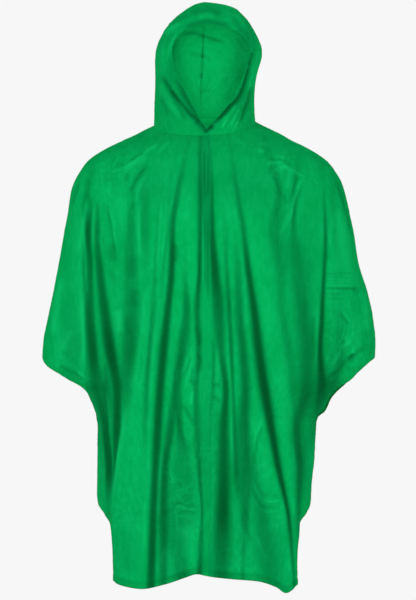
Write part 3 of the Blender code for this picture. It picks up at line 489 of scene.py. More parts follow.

# A patch is an oval of film, fading outwards: its middle and half sizes in mm, how far it sags in,
# how dark the painted shade is that it lays on the film's green, and how crumpled it is, from 0 to 1.
Patch = namedtuple("Patch", "name across height half_across half_height sag shade crumple")
FRONT_PATCHES = (
    # Painted shade over the upper chest and shoulders.
    Patch("yoke", -10, -45, 230, 42, 0, 0.16, 0.1),
    Patch("sleeve_inner_right", -200, -250, 26, 60, 0, 0.16, 0.2),
    Patch("sleeve_inner_left", 252, -460, 20, 72, 0, 0.24, 0.3),
    Patch("side_left_middle", 208, -300, 26, 80, 0, 0.2, 0.2),
    Patch("upper_chest_right", -108, -127, 42, 38, 3, 0.26, 0.2),
    Patch("upper_chest_middle", -4, -115, 24, 42, 2, 0.22, 0),
    Patch("upper_chest_left", 84, -124, 58, 40, 3, 0.28, 0.2),
    Patch("shoulder_right", -178, -95, 55, 52, 0, 0, 0.55),
    Patch("shoulder_left", 172, -92, 60, 58, 0, 0, 0.45),
    Patch("side_left_upper", 164, -232, 34, 75, 3, 0.26, 0.3),
    Patch("side_left_low", 185, -418, 34, 85, 3, 0.24, 0.1),
    Patch("under_arm_right", -210, -552, 26, 44, 3, 0.37, 0.2),
    Patch("under_arm_ridge", -210, -522, 10, 34, 0, 0.28, 0),
    Patch("arm_hang_right", -203, -625, 13, 40, 0, 0.2, 0),
    Patch("notch_left", 222, -550, 34, 40, 2, 0.45, 0.5),
    Patch("sleeve_left_low", 282, -455, 46, 66, 0, 0, 0.7),
    Patch("sleeve_right_low", -275, -470, 46, 60, 0, 0, 0.4),
    Patch("centre_low", 14, -640, 20, 120, 2, 0.26, 0.5),
    Patch("middle_right", -53, -745, 48, 120, 1, 0.12, 1),
    Patch("middle_right_low", -76, -815, 14, 60, 0, 0.28, 0),
    Patch("middle_left", 100, -740, 62, 110, 0, 0.06, 0.35),
    Patch("plateau_low", -160, -790, 40, 90, 0, 0.12, 0.3),
    Patch("hem_right", -168, -892, 30, 58, 2, 0.31, 0.2),
    Patch("hem_left", 146, -858, 30, 60, 0, 0.24, 0.3),
    Patch("low_left", 64, -850, 22, 70, 0, 0.14, 0),
    Patch("side_left_hang", 206, -680, 16, 80, 0, 0.3, 0.3),
    Patch("side_right_hang", -212, -680, 14, 66, 0, 0.26, 0.3),
    Patch("hem_tip_left", 150, -932, 26, 22, 0, 0.18, 0),
    Patch("hem_middle", 60, -900, 90, 40, 0, 0.05, 0.5),
    # Painted shade in small dark spots along the hem.
    Patch("hem_tuck_band", -12, -903, 11, 12, 0, 0.25, 0),
    Patch("hem_tuck_left", 40, -918, 22, 8, 0, 0.14, 0),
    Patch("hem_tuck_right", -70, -918, 34, 9, 0, 0.2, 0),
)
BACK_PATCHES = (
    # Painted shade over the shoulders and the top of the back.
    Patch("yoke", 0, -40, 230, 40, 0, 0.1, 0.2),
    Patch("shoulder_right", -172, -98, 58, 54, 0, 0.04, 1),
    Patch("shoulder_left", 176, -96, 58, 56, 0, 0.04, 1),
    Patch("blades", 0, -170, 70, 60, 4, 0.22, 0.3),
    Patch("side_right_upper", -176, -250, 34, 80, 2, 0.22, 0.3),
    Patch("side_left_upper", 178, -300, 32, 80, 2, 0.2, 0.3),
    Patch("waist", 10, -520, 60, 90, 2, 0.16, 0.9),
    Patch("under_arm_right", -206, -540, 34, 60, 3, 0.4, 0.3),
    Patch("under_arm_left", 204, -540, 34, 60, 3, 0.4, 0.3),
    Patch("low_right", -120, -760, 60, 100, 0, 0.08, 0.8),
    Patch("low_left", 110, -700, 60, 110, 0, 0.1, 0.8),
    Patch("hem_right", -160, -890, 34, 50, 0, 0.24, 0.3),
    Patch("hem_left", 150, -886, 34, 50, 0, 0.2, 0.3),
    Patch("arm_right", -250, -440, 44, 70, 0, 0.1, 0.6),
    Patch("arm_left", 255, -420, 46, 70, 0, 0.12, 0.5),
)

# Waves whose sum gives the crumpling its ridges: length in mm, direction in degrees, start in
# turns, and how far each bends from side to side.
Wave = namedtuple("Wave", "length direction start bend")
CRUMPLE_WAVES = (
    Wave(47, 24, 0.10, 0.9),
    Wave(39, 112, 0.45, 1.3),
    Wave(31, 67, 0.80, 1.1),
    Wave(27, 151, 0.30, 1.4),
)
CRUMPLE_BEND_LENGTH = 1.9  # a bend's length against its wave's
CRUMPLE_BEND_START = 4
CRUMPLE_GAP_ACROSS = 19 * MM  # the slower wave that breaks the ridges up, across and down
CRUMPLE_GAP_DOWN = 23 * MM
CRUMPLE_GAP_SWING = 2
CRUMPLE_RIDGE = 0.8  # breadth of a ridge in the waves' sum
CRUMPLE_VALLEY = 2  # how soon a ridge ends the shade beside it
CRUMPLE_MEAN = 0.3  # the ridges' usual height, taken off so that the film stays in place
CRUMPLE_EVERYWHERE = 0.15
# Painted shade between the crumple ridges, and painted highlight on them.
CRUMPLE_SHADE = 0.18
CRUMPLE_HIGHLIGHT = 0.25
# Finer crumpling from the same waves: its share of the height, how short the waves are, and how far
# aside they are read.
FINE_CRUMPLE_SHARE = 0.5
FINE_CRUMPLE_SCALE = 0.45
FINE_CRUMPLE_SHIFT = 0.3

# Fine pleats: the turn between two of them, their length in mm and their share of the full height.
Streak = namedtuple("Streak", "turn length share")
STREAKS = (Streak(0.037, 210, 1.0), Streak(0.059, 330, 0.8), Streak(0.023, 150, 0.6))
STREAK_WANDER = 0.2  # how far pleats wander to the side, in their spacing
STREAK_WANDER_LENGTH = 140 * MM
STREAK_ROW_SHIFT = 3  # moves each row of pleats to its own places
STREAK_BREADTH = 0.42  # a crest's half breadth, in the sine of pi times its count
STREAK_BREAK_STEP = 2.4  # moves the breaks of each pleat and of each row
STREAK_BREAK_SHIFT = 7

# The hood, as in the solids: a fan of arches on each side, from the face to the seam behind. Each
# has where it stands on the neck seam, in degrees from the front, where it meets the crown, how far
# its handles reach out on each side, at what shares of its climb, and how far it bows back.
Arch = namedtuple(
    "Arch",
    "name neck_angle crown_y crown_z low_right low_left high_right high_left low_at high_at bow",
)
HOOD_ARCHES = (
    Arch("face_edge", -6, -118, 210, 70, 73, 111, 140, 0.30, 0.98, 0),
    Arch("brim", 12, -104, 237, 88, 81, 110, 144, 0.34, 0.97, 0),
    Arch("cheek", 34, -70, 257, 107, 90, 107, 149, 0.42, 0.96, 0),
    Arch("ear", 78, -4, 267, 111, 92, 101, 145, 0.46, 0.96, 0),
    Arch("behind_ear", 122, 60, 249, 103, 84, 89, 127, 0.46, 0.94, 6),
    Arch("nape", 154, 98, 217, 69, 56, 61, 93, 0.42, 0.86, 14),
    Arch("back_seam", 180, 118, 176, 0, 0, 0, 0, 0.36, 0.70, 20),
)
Swell = namedtuple("Swell", "name side height breadth out")
HOOD_SWELLS = (
    Swell("left_temple", 1, 163, 27, 17),
    Swell("right_temple", -1, 180, 40, 13),
    Swell("left_crown", 1, 259, 8, 20),
    Swell("right_crown", -1, 256, 13, -13),
)
# Creases and patches round the face, and those inside the hood that the face opening shows. Their
# grooves and patches lay painted shade on the film's green, and their ridges painted highlights.
HOOD_FACE_CREASES = (
    Crease("right_weld", -3.4, 3.4,
           ((-104, 118), (-98, 108), (-88, 93), (-76, 73), (-55, 47), (-37, 26), (-20, 12), (-4, -3))),
    Crease("right_rim_groove", -2.2, 4, ((-74, 108), (-58, 82), (-45, 58), (-28, 31), (-13, 12))),
    Crease("right_rim_glint", 1.8, 2.4, ((-62, 192), (-74, 172), (-80, 152), (-82, 134))),
    Crease("right_low_ridge", 1.2, 5, ((-102, 102), (-88, 72), (-74, 44), (-56, 16))),
    Crease("right_low_ridge_short", 0.5, 3.4, ((-66, 36), (-55, 20), (-44, 4))),
    Crease("right_low_groove", -1.4, 4, ((-97, 66), (-90, 44), (-82, 20))),
    Crease("right_low_groove_inner", -2.2, 4, ((-80, 82), (-66, 51), (-53, 25), (-42, 6))),
    Crease("right_temple", -1.3, 5, ((-78, 214), (-58, 226), (-34, 234))),
    Crease("right_temple_ridge", 1.5, 5, ((-88, 188), (-75, 205), (-56, 214))),
    Crease("right_temple_groove", -0.9, 5, ((-92, 160), (-84, 182), (-70, 196))),
    Crease("brim_groove", -1.8, 7, ((-42, 234), (0, 241), (38, 232))),
    Crease("brim_ridge", 1.6, 5, ((-22, 225), (-4, 227), (16, 225))),
    Crease("brim_edge", -2.4, 5, ((-58, 194), (-30, 210), (0, 214), (30, 210), (54, 197))),
    Crease("left_temple_ridge", 1.0, 5, ((56, 234), (72, 217), (84, 196))),
    Crease("left_temple_groove", -1.2, 6, ((48, 226), (63, 211), (75, 190))),
    Crease("left_rim_groove", -4.6, 4.2,
           ((90, 146), (88, 124), (82, 102), (76, 82), (69, 65), (58, 51), (43, 37), (26, 21), (9, 6))),
    Crease("left_rim_groove_low", -2.6, 4.6, ((54, 48), (40, 34), (26, 21), (12, 8), (-4, -7))),
    Crease("left_rim_blot", -2.4, 4.5, ((91, 154), (91, 140), (88, 124))),
    Crease("left_rim_ridge", 2, 3, ((95, 150), (92, 118), (88, 94), (82, 72))),
    Crease("left_second_groove", -3.2, 3, ((94, 92), (88, 62), (80, 39), (71, 21), (60, 8))),
    Crease("left_pleat_first", 1.5, 2.2, ((63, 49), (48, 29), (36, 11), (26, -8))),
    Crease("left_pleat_second", 1.5, 2.2, ((70, 43), (58, 22), (45, -2))),
    Crease("left_pleat_third", 1.4, 2, ((56, 46), (42, 29), (26, 9))),
    Crease("left_pleat_fourth", 1.4, 2.4, ((76, 36), (64, 14), (51, -8))),
    Crease("right_rim_shade", -1.2, 9, ((-64, 88), (-48, 62), (-34, 40), (-20, 20), (-4, 0))),
    Crease("chin_shade", -1.8, 5, ((-27, 15), (-16, 4), (-6, -6), (4, -14))),
    Crease("chin_pucker", -2.6, 4, ((-14, 8), (-4, 1), (7, -1), (14, 4))),
    Crease("chin_tail", -2, 4, ((8, 6), (1, -3), (-7, -15))),
)
HOOD_INSIDE_CREASES = (
    Crease("back_weld", -2.4, 1.9, ((0, 244), (0, 200), (0, 160), (0, 120), (0, 80), (0, 40))),
    Crease("nape_fold", -2.2, 3,
           ((-58, 201), (-42, 213), (-22, 216), (-4, 210), (12, 206), (30, 200), (50, 196))),
    Crease("back_dot", -1.6, 3.4, ((0, 176), (0, 170), (0, 162))),
    Crease("back_dot_low", -1.2, 3.4, ((0, 132), (0, 124), (0, 117))),
    Crease("back_faint", -1.1, 3, ((-36, 173), (-4, 169), (22, 160))),
    Crease("back_low_mark", -0.9, 3, ((2, 86), (12, 91), (22, 88))),
)
HOOD_FACE_PATCHES = (
    Patch("right_edge", -97, 182, 8, 24, 0, 0.08, 0.4),
    Patch("right_temple", -75, 205, 24, 30, 0, 0.06, 0.5),
    Patch("left_temple", 80, 172, 12, 34, 1, 0.32, 0.8),
    Patch("brim", 0, 230, 50, 22, 0, 0.06, 0.5),
    Patch("right_rim_low", -78, 106, 9, 30, 0, 0.32, 0),
    Patch("right_low", -82, 60, 36, 62, 0, 0.18, 0.3),
    Patch("foot_right", -58, 4, 56, 24, 0, 0.13, 0),
    Patch("left_low", 70, 40, 30, 40, 0, 0.05, 0.6),
)
HOOD_INSIDE_PATCHES = (
    Patch("right_side", -72, 176, 15, 32, 0, 0.35, 0.2),
    Patch("left_side", 73, 160, 15, 80, 0, 0.36, 0.3),
    Patch("low_left", 50, 108, 10, 40, 0, 0.12, 0.3),
    Patch("low_right", -60, 104, 12, 24, 0, 0.2, 0),
)
# How far the seam behind drifts to the wearer's right, from the neck up to the crown, in mm.
SEAM_DRIFT = {"height": (20, 70, 236), "across": (0, -15, -8)}
# Both edges of the face opening hang slack toward the middle: how far, at what height and over
# how much height, in mm, by side.
Slack = namedtuple("Slack", "inward height reach")
RIM_SLACK = {-1: Slack(8, 42, 34), 1: Slack(5, 4, 18)}

# A share of the fan is counted in arches from the face, and a rise is an arch's share from the neck
# seam to the crown.
SLACK_SHARE = 1.2  # the share by which the slack has faded out
SLACK_FOOT = 0.08  # the rise by which it has grown to its full reach
DRIFT_REACH = 45 * MM  # how near the middle the film drifts with the seam behind
DRIFT_START = 1  # the share from which the drift grows, and over how many arches
DRIFT_GROWTH = 2
FACE_SIDE = 2.4  # the share up to which the film faces forward, and how many arches blend
FACE_BLEND = 0.8
HOOD_KNOTS = 17  # places of the fan at which its turn on the neck seam is set
HOOD_FOOT_FADE = 0.06  # the rises over which the relief fades at both seams
HOOD_CROWN_FADE = 0.04
CHIN_TOP = 20 * MM  # the height under which the right half dips below the left one
CHIN_FADE = 25 * MM

# Slopes are taken from this far to either side, in radians, metres or shares, and a share this near
# its end counts as the end.
SLOPE_STEP = 1e-4
HOOD_STEP = 10 * SLOPE_STEP
AT_END = 1e-6

BELL_BREADTH = 2.35  # a bell's full breadth at half its height, in its spreads
WALL_SHARE = 0.85  # a fold's wall against its band's spread
CREST_SHARE = 0.4  # a fold's crest against its trough's depth
CREST_FADE = 1.5  # how much wider a crest, or a trough, is on its outer side
TROUGH_FADE = 1.7
PATCH_FADE = 1.15  # spreads of a patch's bell in its half size
CREASE_POINTS = 48  # points along each crease
CREASE_REACH = 3.5  # spreads of a crease's bell that are worked out
CREASE_TAPER = 0.22  # the share of a crease's length over which each end fades
GROOVE_SHADE = 0.9  # the most painted shade that a groove lays on the film

# A hem's or a seam's turned film, as shares of its width, and how soon it lies off the film.
TURN_BACK = np.array((0.05, 0.3, 0.65, 1.0))
TURN_ROUND = 0.3
SIDE_GAP = 1.5  # a side hem's gap against a lower hem's
ROW_CROWDING = 1.15  # rows stand closer toward the neck, columns toward the middle
COLUMN_CROWDING = 0.115
OPENING_GROWTH = 12 * MM  # how soon the side's seam turns into its open hem
SIDE_WELD_START = 4 * MM  # how far over the sleeve's tip the side's weld starts, and its growth
SIDE_WELD_GROWTH = 20 * MM
NECK_FADE = 14 * MM  # the height over which the relief grows from the neck seam
WELD_BLEND = 2 * MM  # the breadth over which doubled film turns single at its weld

# Puckers along a weld: a bent wave, stronger and weaker in turn, beside the weld.
PUCKER_LENGTH = 4.1 * MM
PUCKER_BEND = 1.7
PUCKER_BEND_LENGTH = 17 * MM
PUCKER_LEAST = 0.55
PUCKER_CHANGE = 0.45
PUCKER_CHANGE_LENGTH = 53 * MM
PUCKER_CHANGE_START = 0.6
PUCKER_PLACE = 1.15  # where the puckers stand and how far they reach, in hem widths
PUCKER_REACH = 0.45

# The band lies on the left front, from a row under the neck seam to the one where the hem turns.
BAND_TOP_ROW = 6
BAND_MEASURE_ROW = 40  # the row that sets how many columns are as wide as the band
BAND_EDGE_LIFT = 0.45  # the band's height at its edges and what its middle adds
BAND_MIDDLE_LIFT = 0.55
BAND_TUCK = 0.2 * MM  # how deep its outer edge sinks in
BAND_DOUBLED = 0.4

# The hood's waste inside the neck seam, against the ring and against a weld's fin.
HOOD_FIN_NARROWING = 0.998
HOOD_FIN_DROP = 0.5

# The hood's face hem, in shares of its breadth from the outer weld round to the inner one.
RIM_INNER_REACH = 0.8  # the hem's inner reach against its outer one
RIM_TURN_START = 0.42  # where it starts to turn inside, and over how much it does so
RIM_TURN = 0.16
RIM_EDGE = 0.04  # half breadth of its rounded edge
RIM_DOUBLED = 0.5

# The film's finish. Its IOR is soft PVC's, and shows only where the specular level is raised.
FILM_IOR = 1.53
SHEEN = 0.3
SHEEN_ROUGHNESS = 0.5
SHEEN_TINT = (0.01, 0.62, 0.2, 1.0)

# Crinkles of two sizes: how often they come against the finest ones, their noise, and how high they
# stand. Both together cloud the green.
CRINKLE_STRETCH = (1.0, 0.45, 1.0)  # crinkles are longer down the film than across
Crinkle = namedtuple("Crinkle", "scale detail roughness height")
WIDE_CRINKLE = Crinkle(0.22, 2.0, 0.5, 1.6 * MM)
FINE_CRINKLE = Crinkle(1.0, 3.0, 0.55, 0.4 * MM)
MOTTLE_SHARE = 0.5
CLOUD_START = 0.35
CLOUD_END = 0.7

# The floor is a disc with a pinhole. Lamps hold their size in m and the stage's value for their
# power, and one that doesn't shine leaves no glossy light.
FLOOR_SPOKES = 97
FLOOR_RINGS = 8
FLOOR_RADIUS = 3.0
FLOOR_HOLE = 0.001
FLOOR_ROUGHNESS = 0.85
SENSOR_HEIGHT = 24  # mm
LAMP_AIM = (0, 0, -0.4)
Lamp = namedtuple("Lamp", "name place size power shines")
LAMPS = (
    Lamp("key_box", (-2.3, -2.9, 1.6), 1.1, "key_power", True),
    Lamp("front_box", (0.0, -5.3, -0.45), 1.8, "front_power", True),
    Lamp("side_box", (3.0, -0.9, 0.6), 1.4, "side_power", False),
    Lamp("back_box", (0.6, 4.4, 1.2), 1.8, "back_power", False),
)


class PonchoShell(bpy.types.PropertyGroup):
    """The body's grids, and how strong its folds, creases and layers are."""

    body_rows: bpy.props.IntProperty(
        name="Body rows", description="Grid rows from the neck seam to the hem", default=400, min=60
    )
    front_columns: bpy.props.IntProperty(
        name="Front columns", description="Grid columns of one front", default=226, min=40
    )
    back_columns: bpy.props.IntProperty(
        name="Back columns", description="Grid columns of the whole back", default=400, min=60
    )
    back_rows: bpy.props.IntProperty(
        name="Back rows", description="Grid rows of the back", default=232, min=60
    )
    steepness: bpy.props.FloatProperty(
        name="Fold steepness", description="Slope of the wall of the strongest fold", default=1.1, min=0
    )
    crease_depth: bpy.props.FloatProperty(
        name="Crease depth", description="Multiplies the height of every short crease", default=1.0, min=0
    )
    streak_height: bpy.props.FloatProperty(
        name="Streak height",
        description="Of the fine pleats that run down",
        default=0.4 * MM,
        unit="LENGTH",
    )
    # A ridge this high gets the full painted highlight.
    highlight_ridge: bpy.props.FloatProperty(
        name="White ridge",
        description="Height of a crease that whitens the film",
        default=2.6 * MM,
        unit="LENGTH",
    )
    # A groove this deep gets the full painted shade.
    dark_groove: bpy.props.FloatProperty(
        name="Dark groove",
        description="Depth of a crease that keeps all light back",
        default=5 * MM,
        unit="LENGTH",
    )
    crumple_height: bpy.props.FloatProperty(
        name="Crumple height",
        description="Of the ridges where film is crumpled",
        default=2.6 * MM,
        unit="LENGTH",
    )
    layer_gap: bpy.props.FloatProperty(
        name="Layer gap",
        description="Between the two fronts where they lap",
        default=1.6 * MM,
        unit="LENGTH",
    )
    band_gap: bpy.props.FloatProperty(
        name="Band gap",
        description="How far the band stands on the left front",
        default=1.2 * MM,
        unit="LENGTH",
    )


class PonchoWelds(bpy.types.PropertyGroup):
    """Turned hems and welds, the same on every piece."""

    hem_width: bpy.props.FloatProperty(
        name="Hem width",
        description="From the edge to the weld of the turned hem",
        default=15 * MM,
        unit="LENGTH",
    )
    hem_gap: bpy.props.FloatProperty(
        name="Hem gap", description="Between the film and its turned hem", default=0.7 * MM, unit="LENGTH"
    )
    fin: bpy.props.FloatProperty(
        name="Seam fin", description="How far a weld's waste stands in", default=2.5 * MM, unit="LENGTH"
    )
    groove: bpy.props.FloatProperty(
        name="Groove depth", description="How deep a weld sinks in", default=0.7 * MM, unit="LENGTH"
    )
    groove_breadth: bpy.props.FloatProperty(
        name="Groove breadth",
        description="Half breadth of a weld's groove",
        default=2.2 * MM,
        unit="LENGTH",
    )
    pucker: bpy.props.FloatProperty(
        name="Pucker height",
        description="Height of the puckers along a weld",
        default=0.6 * MM,
        unit="LENGTH",
    )


class PonchoHood(bpy.types.PropertyGroup):
    """The hood's grids and its face hem."""

    columns: bpy.props.IntProperty(
        name="Columns", description="Grid columns of one half, face to back", default=240, min=30
    )
    rows: bpy.props.IntProperty(
        name="Rows", description="Grid rows of one half, neck to crown", default=220, min=30
    )
    rim_columns: bpy.props.IntProperty(
        name="Face hem columns", description="Grid columns across the face hem", default=30, min=8
    )
    rim_share: bpy.props.FloatProperty(
        name="Face hem reach",
        description="How far the face hem reaches over the fan of arches",
        default=0.8,
        min=0.1,
    )
    rim_gap: bpy.props.FloatProperty(
        name="Face hem gap",
        description="How far the face hem stands off the hood",
        default=1.1 * MM,
        unit="LENGTH",
    )


class PonchoFilm(bpy.types.PropertyGroup):
    """Greens and finish of the film, with the greens of its painted shade and painted highlight."""

    green: bpy.props.StringProperty(
        name="Green", description="Colour of one layer of film, sRGB hex", default="01A755"
    )
    doubled_green: bpy.props.StringProperty(
        name="Doubled green", description="Colour where two layers are welded, sRGB hex", default="02A856"
    )
    # Painted shade: the green laid deep in folds, in grooves and on shaded patches.
    painted_shade_green: bpy.props.StringProperty(
        name="Folded green",
        description="Colour deep in a fold, where light is lost, sRGB hex",
        default="01572A",
    )
    # Painted highlight: the green laid along sharp ridges and crumple ridges.
    painted_highlight_green: bpy.props.StringProperty(
        name="Whitened green", description="Colour along a sharp ridge, sRGB hex", default="12CC74"
    )
    clouded_green: bpy.props.StringProperty(
        name="Clouded green",
        description="Colour where the film has whitened a little, sRGB hex",
        default="08B664",
    )
    roughness: bpy.props.FloatProperty(
        name="Roughness", description="Of the calendered face", default=0.42, min=0, max=1, subtype="FACTOR"
    )
    see_through: bpy.props.FloatProperty(
        name="Light let through",
        description="Share of the light that passes a layer",
        default=0.4,
        min=0,
        max=1,
    )
    crinkle: bpy.props.FloatProperty(
        name="Crinkle size", description="Length of the finest crinkles", default=9 * MM, unit="LENGTH"
    )


class PonchoStage(bpy.types.PropertyGroup):
    """Camera, floor, backdrop and lamps."""

    distance: bpy.props.FloatProperty(
        name="Camera distance", description="From the middle of the poncho", default=5.0, unit="LENGTH"
    )
    eye_height: bpy.props.FloatProperty(
        name="Camera height", description="Over the neck seam", default=-0.357, unit="LENGTH"
    )
    eye_across: bpy.props.FloatProperty(
        name="Camera across", description="To the wearer's left", default=0.5 * MM, unit="LENGTH"
    )
    field: bpy.props.FloatProperty(
        name="Field height", description="What the picture shows at the poncho", default=1.26, unit="LENGTH"
    )
    floor_height: bpy.props.FloatProperty(
        name="Floor height", description="Of the studio floor", default=-1.6, unit="LENGTH"
    )
    backdrop: bpy.props.StringProperty(
        name="Backdrop", description="Colour behind the poncho, sRGB hex", default="F7F7F7"
    )
    floor: bpy.props.StringProperty(
        name="Floor", description="Colour of the studio floor, sRGB hex", default="EDEDEB"
    )
    room_light: bpy.props.FloatProperty(
        name="Room light", description="Strength of the even light from all round", default=0.25, min=0
    )
    key_power: bpy.props.FloatProperty(
        name="Key power", description="Of the soft box at the upper left", default=90, unit="POWER"
    )
    front_power: bpy.props.FloatProperty(
        name="Front power", description="Of the wide soft box behind the camera", default=218, unit="POWER"
    )
    side_power: bpy.props.FloatProperty(
        name="Side power", description="Of the soft box at the right side", default=28, unit="POWER"
    )
    back_power: bpy.props.FloatProperty(
        name="Back power", description="Of the soft box behind", default=150, unit="POWER"
    )


def smooth_table(at, knots, values):
    """Monotone cubic through the points (knots, values), knots rising, and straight beyond its ends."""
    knots = np.asarray(knots, float)
    values = np.asarray(values, float)
    spans = np.diff(knots)
    rises = np.diff(values) / spans
    slopes = np.empty_like(values)
    slopes[0], slopes[-1] = rises[0], rises[-1]
    turning = rises[:-1] * rises[1:] <= 0
    before = 2 * spans[1:] + spans[:-1]
    after = spans[1:] + 2 * spans[:-1]
    safe = np.where(turning, 1.0, rises[:-1]), np.where(turning, 1.0, rises[1:])
    slopes[1:-1] = np.where(turning, 0.0, (before + after) / (before / safe[0] + after / safe[1]))
    inside = np.clip(at, knots[0], knots[-1])
    cell = np.clip(np.searchsorted(knots, inside, side="right") - 1, 0, len(knots) - 2)
    span = spans[cell]
    t = (inside - knots[cell]) / span
    beyond = (at - inside) * np.where(at < inside, slopes[0], slopes[-1])
    return (
        beyond
        + values[cell] * (2 * t**3 - 3 * t**2 + 1)
        + slopes[cell] * span * (t**3 - 2 * t**2 + t)
        + values[cell + 1] * (3 * t**2 - 2 * t**3)
        + slopes[cell + 1] * span * (t**3 - t**2)
    )


def ease(t):
    """Rises from 0 to 1 as t does, with level ends: three t squared less two t cubed."""
    t = np.clip(t, 0, 1)
    return t * t * (3 - 2 * t)


def bell(off):
    """A bell that is 1 at the middle and fades with the square of the distance in half breadths."""
    return np.exp(-0.5 * off**2)


def unit(vectors):
    """Each vector divided by its length."""
    return vectors / np.linalg.norm(vectors, axis=-1, keepdims=True)


def section_size(name, level):
    """One column of the body's sections at a height, in metres."""
    rows = BODY_SECTIONS[::-1]
    knots = [row.level * MM for row in rows]
    return smooth_table(level, knots, [getattr(row, name) * MM for row in rows])


def half_width(angle, level, back):
    """The section's half width on the side that the angle is on; the back is a little narrower low down."""
    width = np.where(angle < 0, section_size("right", level), section_size("left", level))
    if back:
        narrowing = ease((NOTCH_LEVEL - level) / BACK_INSET_BLEND)
        width = width * (1 - (1 - BACK_INSET) * narrowing)
    return width


def neck_lift(angle, back):
    """Height of the neck seam over the level section: a tilt, plus a rise behind or a dip in front."""
    toward_middle = NECK_RISE if back else -NECK_DIP
    return NECK_SIDE_LIFT + NECK_TILT * np.sin(angle) + toward_middle * np.cos(angle)


def plain_surface(angle, level, back):
    """The body without folds: across is the half width times the angle's sine, and depth is the
    root of one less that sine to a power which grows from oval to boxy down the body."""
    side, edge, table = ("back", "back_edge", BACK_HEM) if back else ("front", "front_edge", FRONT_HEM)
    depth = section_size(side, level)
    stand_off = section_size(edge, level)
    x = half_width(angle, level, back) * np.sin(angle)
    power = OVAL_POWER + (BOXY_POWER - OVAL_POWER) * ease((TIP_LEVEL - level) / (TIP_LEVEL - NOTCH_LEVEL))
    bulge = np.sign(np.cos(angle)) * np.sqrt(np.maximum(1 - np.abs(np.sin(angle)) ** power, 0))
    y = (stand_off + (depth - stand_off) * bulge) * (1 if back else -1)
    hem = smooth_table(x, np.array(table["across"]) * MM, np.array(table["height"]) * MM)
    hem_share = ease((HEM_BLEND_TOP - level) / (HEM_BLEND_TOP - HEM_LEVEL))
    z = level + neck_lift(angle, back) * np.exp(level / NECK_BLEND) + (hem - HEM_LEVEL) * hem_share
    return np.stack([x, y, z], axis=-1)


def fold_line(fold, z):
    """A fold's place across, the spread of its band and its strength, eased between its heights."""
    knots = np.array(FOLD_HEIGHTS[::-1]) * MM
    held = np.clip(z, knots[0], knots[-1])
    across = smooth_table(z, knots, np.array(fold.across[::-1]) * MM)
    spread = smooth_table(held, knots, np.array(fold.breadth[::-1]) * MM) / BELL_BREADTH
    return across, spread, smooth_table(held, knots, fold.strength[::-1])


def fold_relief(x, z, folds, steepness):
    """Sum of the folds: a crest one wall before the middle of the band and a trough one wall after
    it, each a bell that is steep inside and wide outside, as deep as the wall's slope asks for."""
    total = np.zeros_like(x)
    for fold in folds:
        across, spread, strength = fold_line(fold, z)
        wall = WALL_SHARE * spread
        depth = steepness * strength * wall / (np.exp(-0.5) * (1 + CREST_SHARE))
        from_crest, from_trough = x - across + wall, x - across - wall
        crest = bell(from_crest / np.where(from_crest < 0, CREST_FADE * wall, wall))
        trough = bell(from_trough / np.where(from_trough < 0, wall, TROUGH_FADE * wall))
        total += depth * (CREST_SHARE * crest - trough)
    return total


def fold_shade(x, z, folds):
    """Painted shade of the folds, from 0 to 1: one less the product of what each fold leaves
    unshaded, a bell with a flat top and steep sides across its band."""
    unshaded = np.ones_like(x)
    for fold in folds:
        across, spread, strength = fold_line(fold, z)
        half = np.abs(x - across) / (0.5 * BELL_BREADTH * spread)
        unshaded *= 1 - strength * 0.5 ** (half**3)
    return 1 - unshaded


def patch_bell(x, z, patch):
    """A bell that fades across and along the patch in its half sizes."""
    across = (x / MM - patch.across) / patch.half_across
    along = (z / MM - patch.height) / patch.half_height
    return bell(np.hypot(across, along) * PATCH_FADE)


def crumple_ridges(x, z, scale=1.0):
    """Sharp low ridges where the sum of a few bent waves passes zero, broken up by a slower wave."""
    total = np.zeros_like(x)
    for wave in CRUMPLE_WAVES:
        turn, length = np.radians(wave.direction), wave.length * MM * scale / (2 * np.pi)
        along = (x * np.cos(turn) + z * np.sin(turn)) / length
        beside = (z * np.cos(turn) - x * np.sin(turn)) / (CRUMPLE_BEND_LENGTH * length)
        bent = wave.bend * np.sin(beside + CRUMPLE_BEND_START * wave.start)
        total += np.sin(along + 2 * np.pi * wave.start + bent)
    swing = CRUMPLE_GAP_SWING * np.sin(z / (CRUMPLE_GAP_DOWN * scale))
    broken = 0.5 + 0.5 * np.sin(x / (CRUMPLE_GAP_ACROSS * scale) + swing)
    return np.exp(-((total / CRUMPLE_RIDGE) ** 2)) * broken


def streak_relief(angle, level):
    """Fine pleats that run down from the neck: for each row of the table narrow crests at equal
    turns of the angle, each broken along its length by a wave of its own start, as a share of 1."""
    total = np.zeros_like(angle)
    for row in STREAKS:
        wander = STREAK_WANDER * np.sin(level / STREAK_WANDER_LENGTH)
        count = angle / row.turn + wander + STREAK_ROW_SHIFT * row.share
        crest = np.exp(-((np.sin(np.pi * count) / STREAK_BREADTH) ** 2))
        start = STREAK_BREAK_STEP * np.round(count) + STREAK_BREAK_SHIFT * row.share
        broken = np.sin(2 * np.pi * level / (row.length * MM) + start)
        total += row.share * crest * np.clip(broken, 0, 1)
    return total


def crease_line(crease):
    """Points along a crease: a smooth curve through its knots by the length so far."""
    knots = np.array(crease.line, float) * MM
    so_far = np.concatenate([[0], np.cumsum(np.linalg.norm(np.diff(knots, axis=0), axis=1))])
    at = np.linspace(0, so_far[-1], CREASE_POINTS)
    return np.stack([smooth_table(at, so_far, knots[:, axis]) for axis in range(2)], axis=-1)


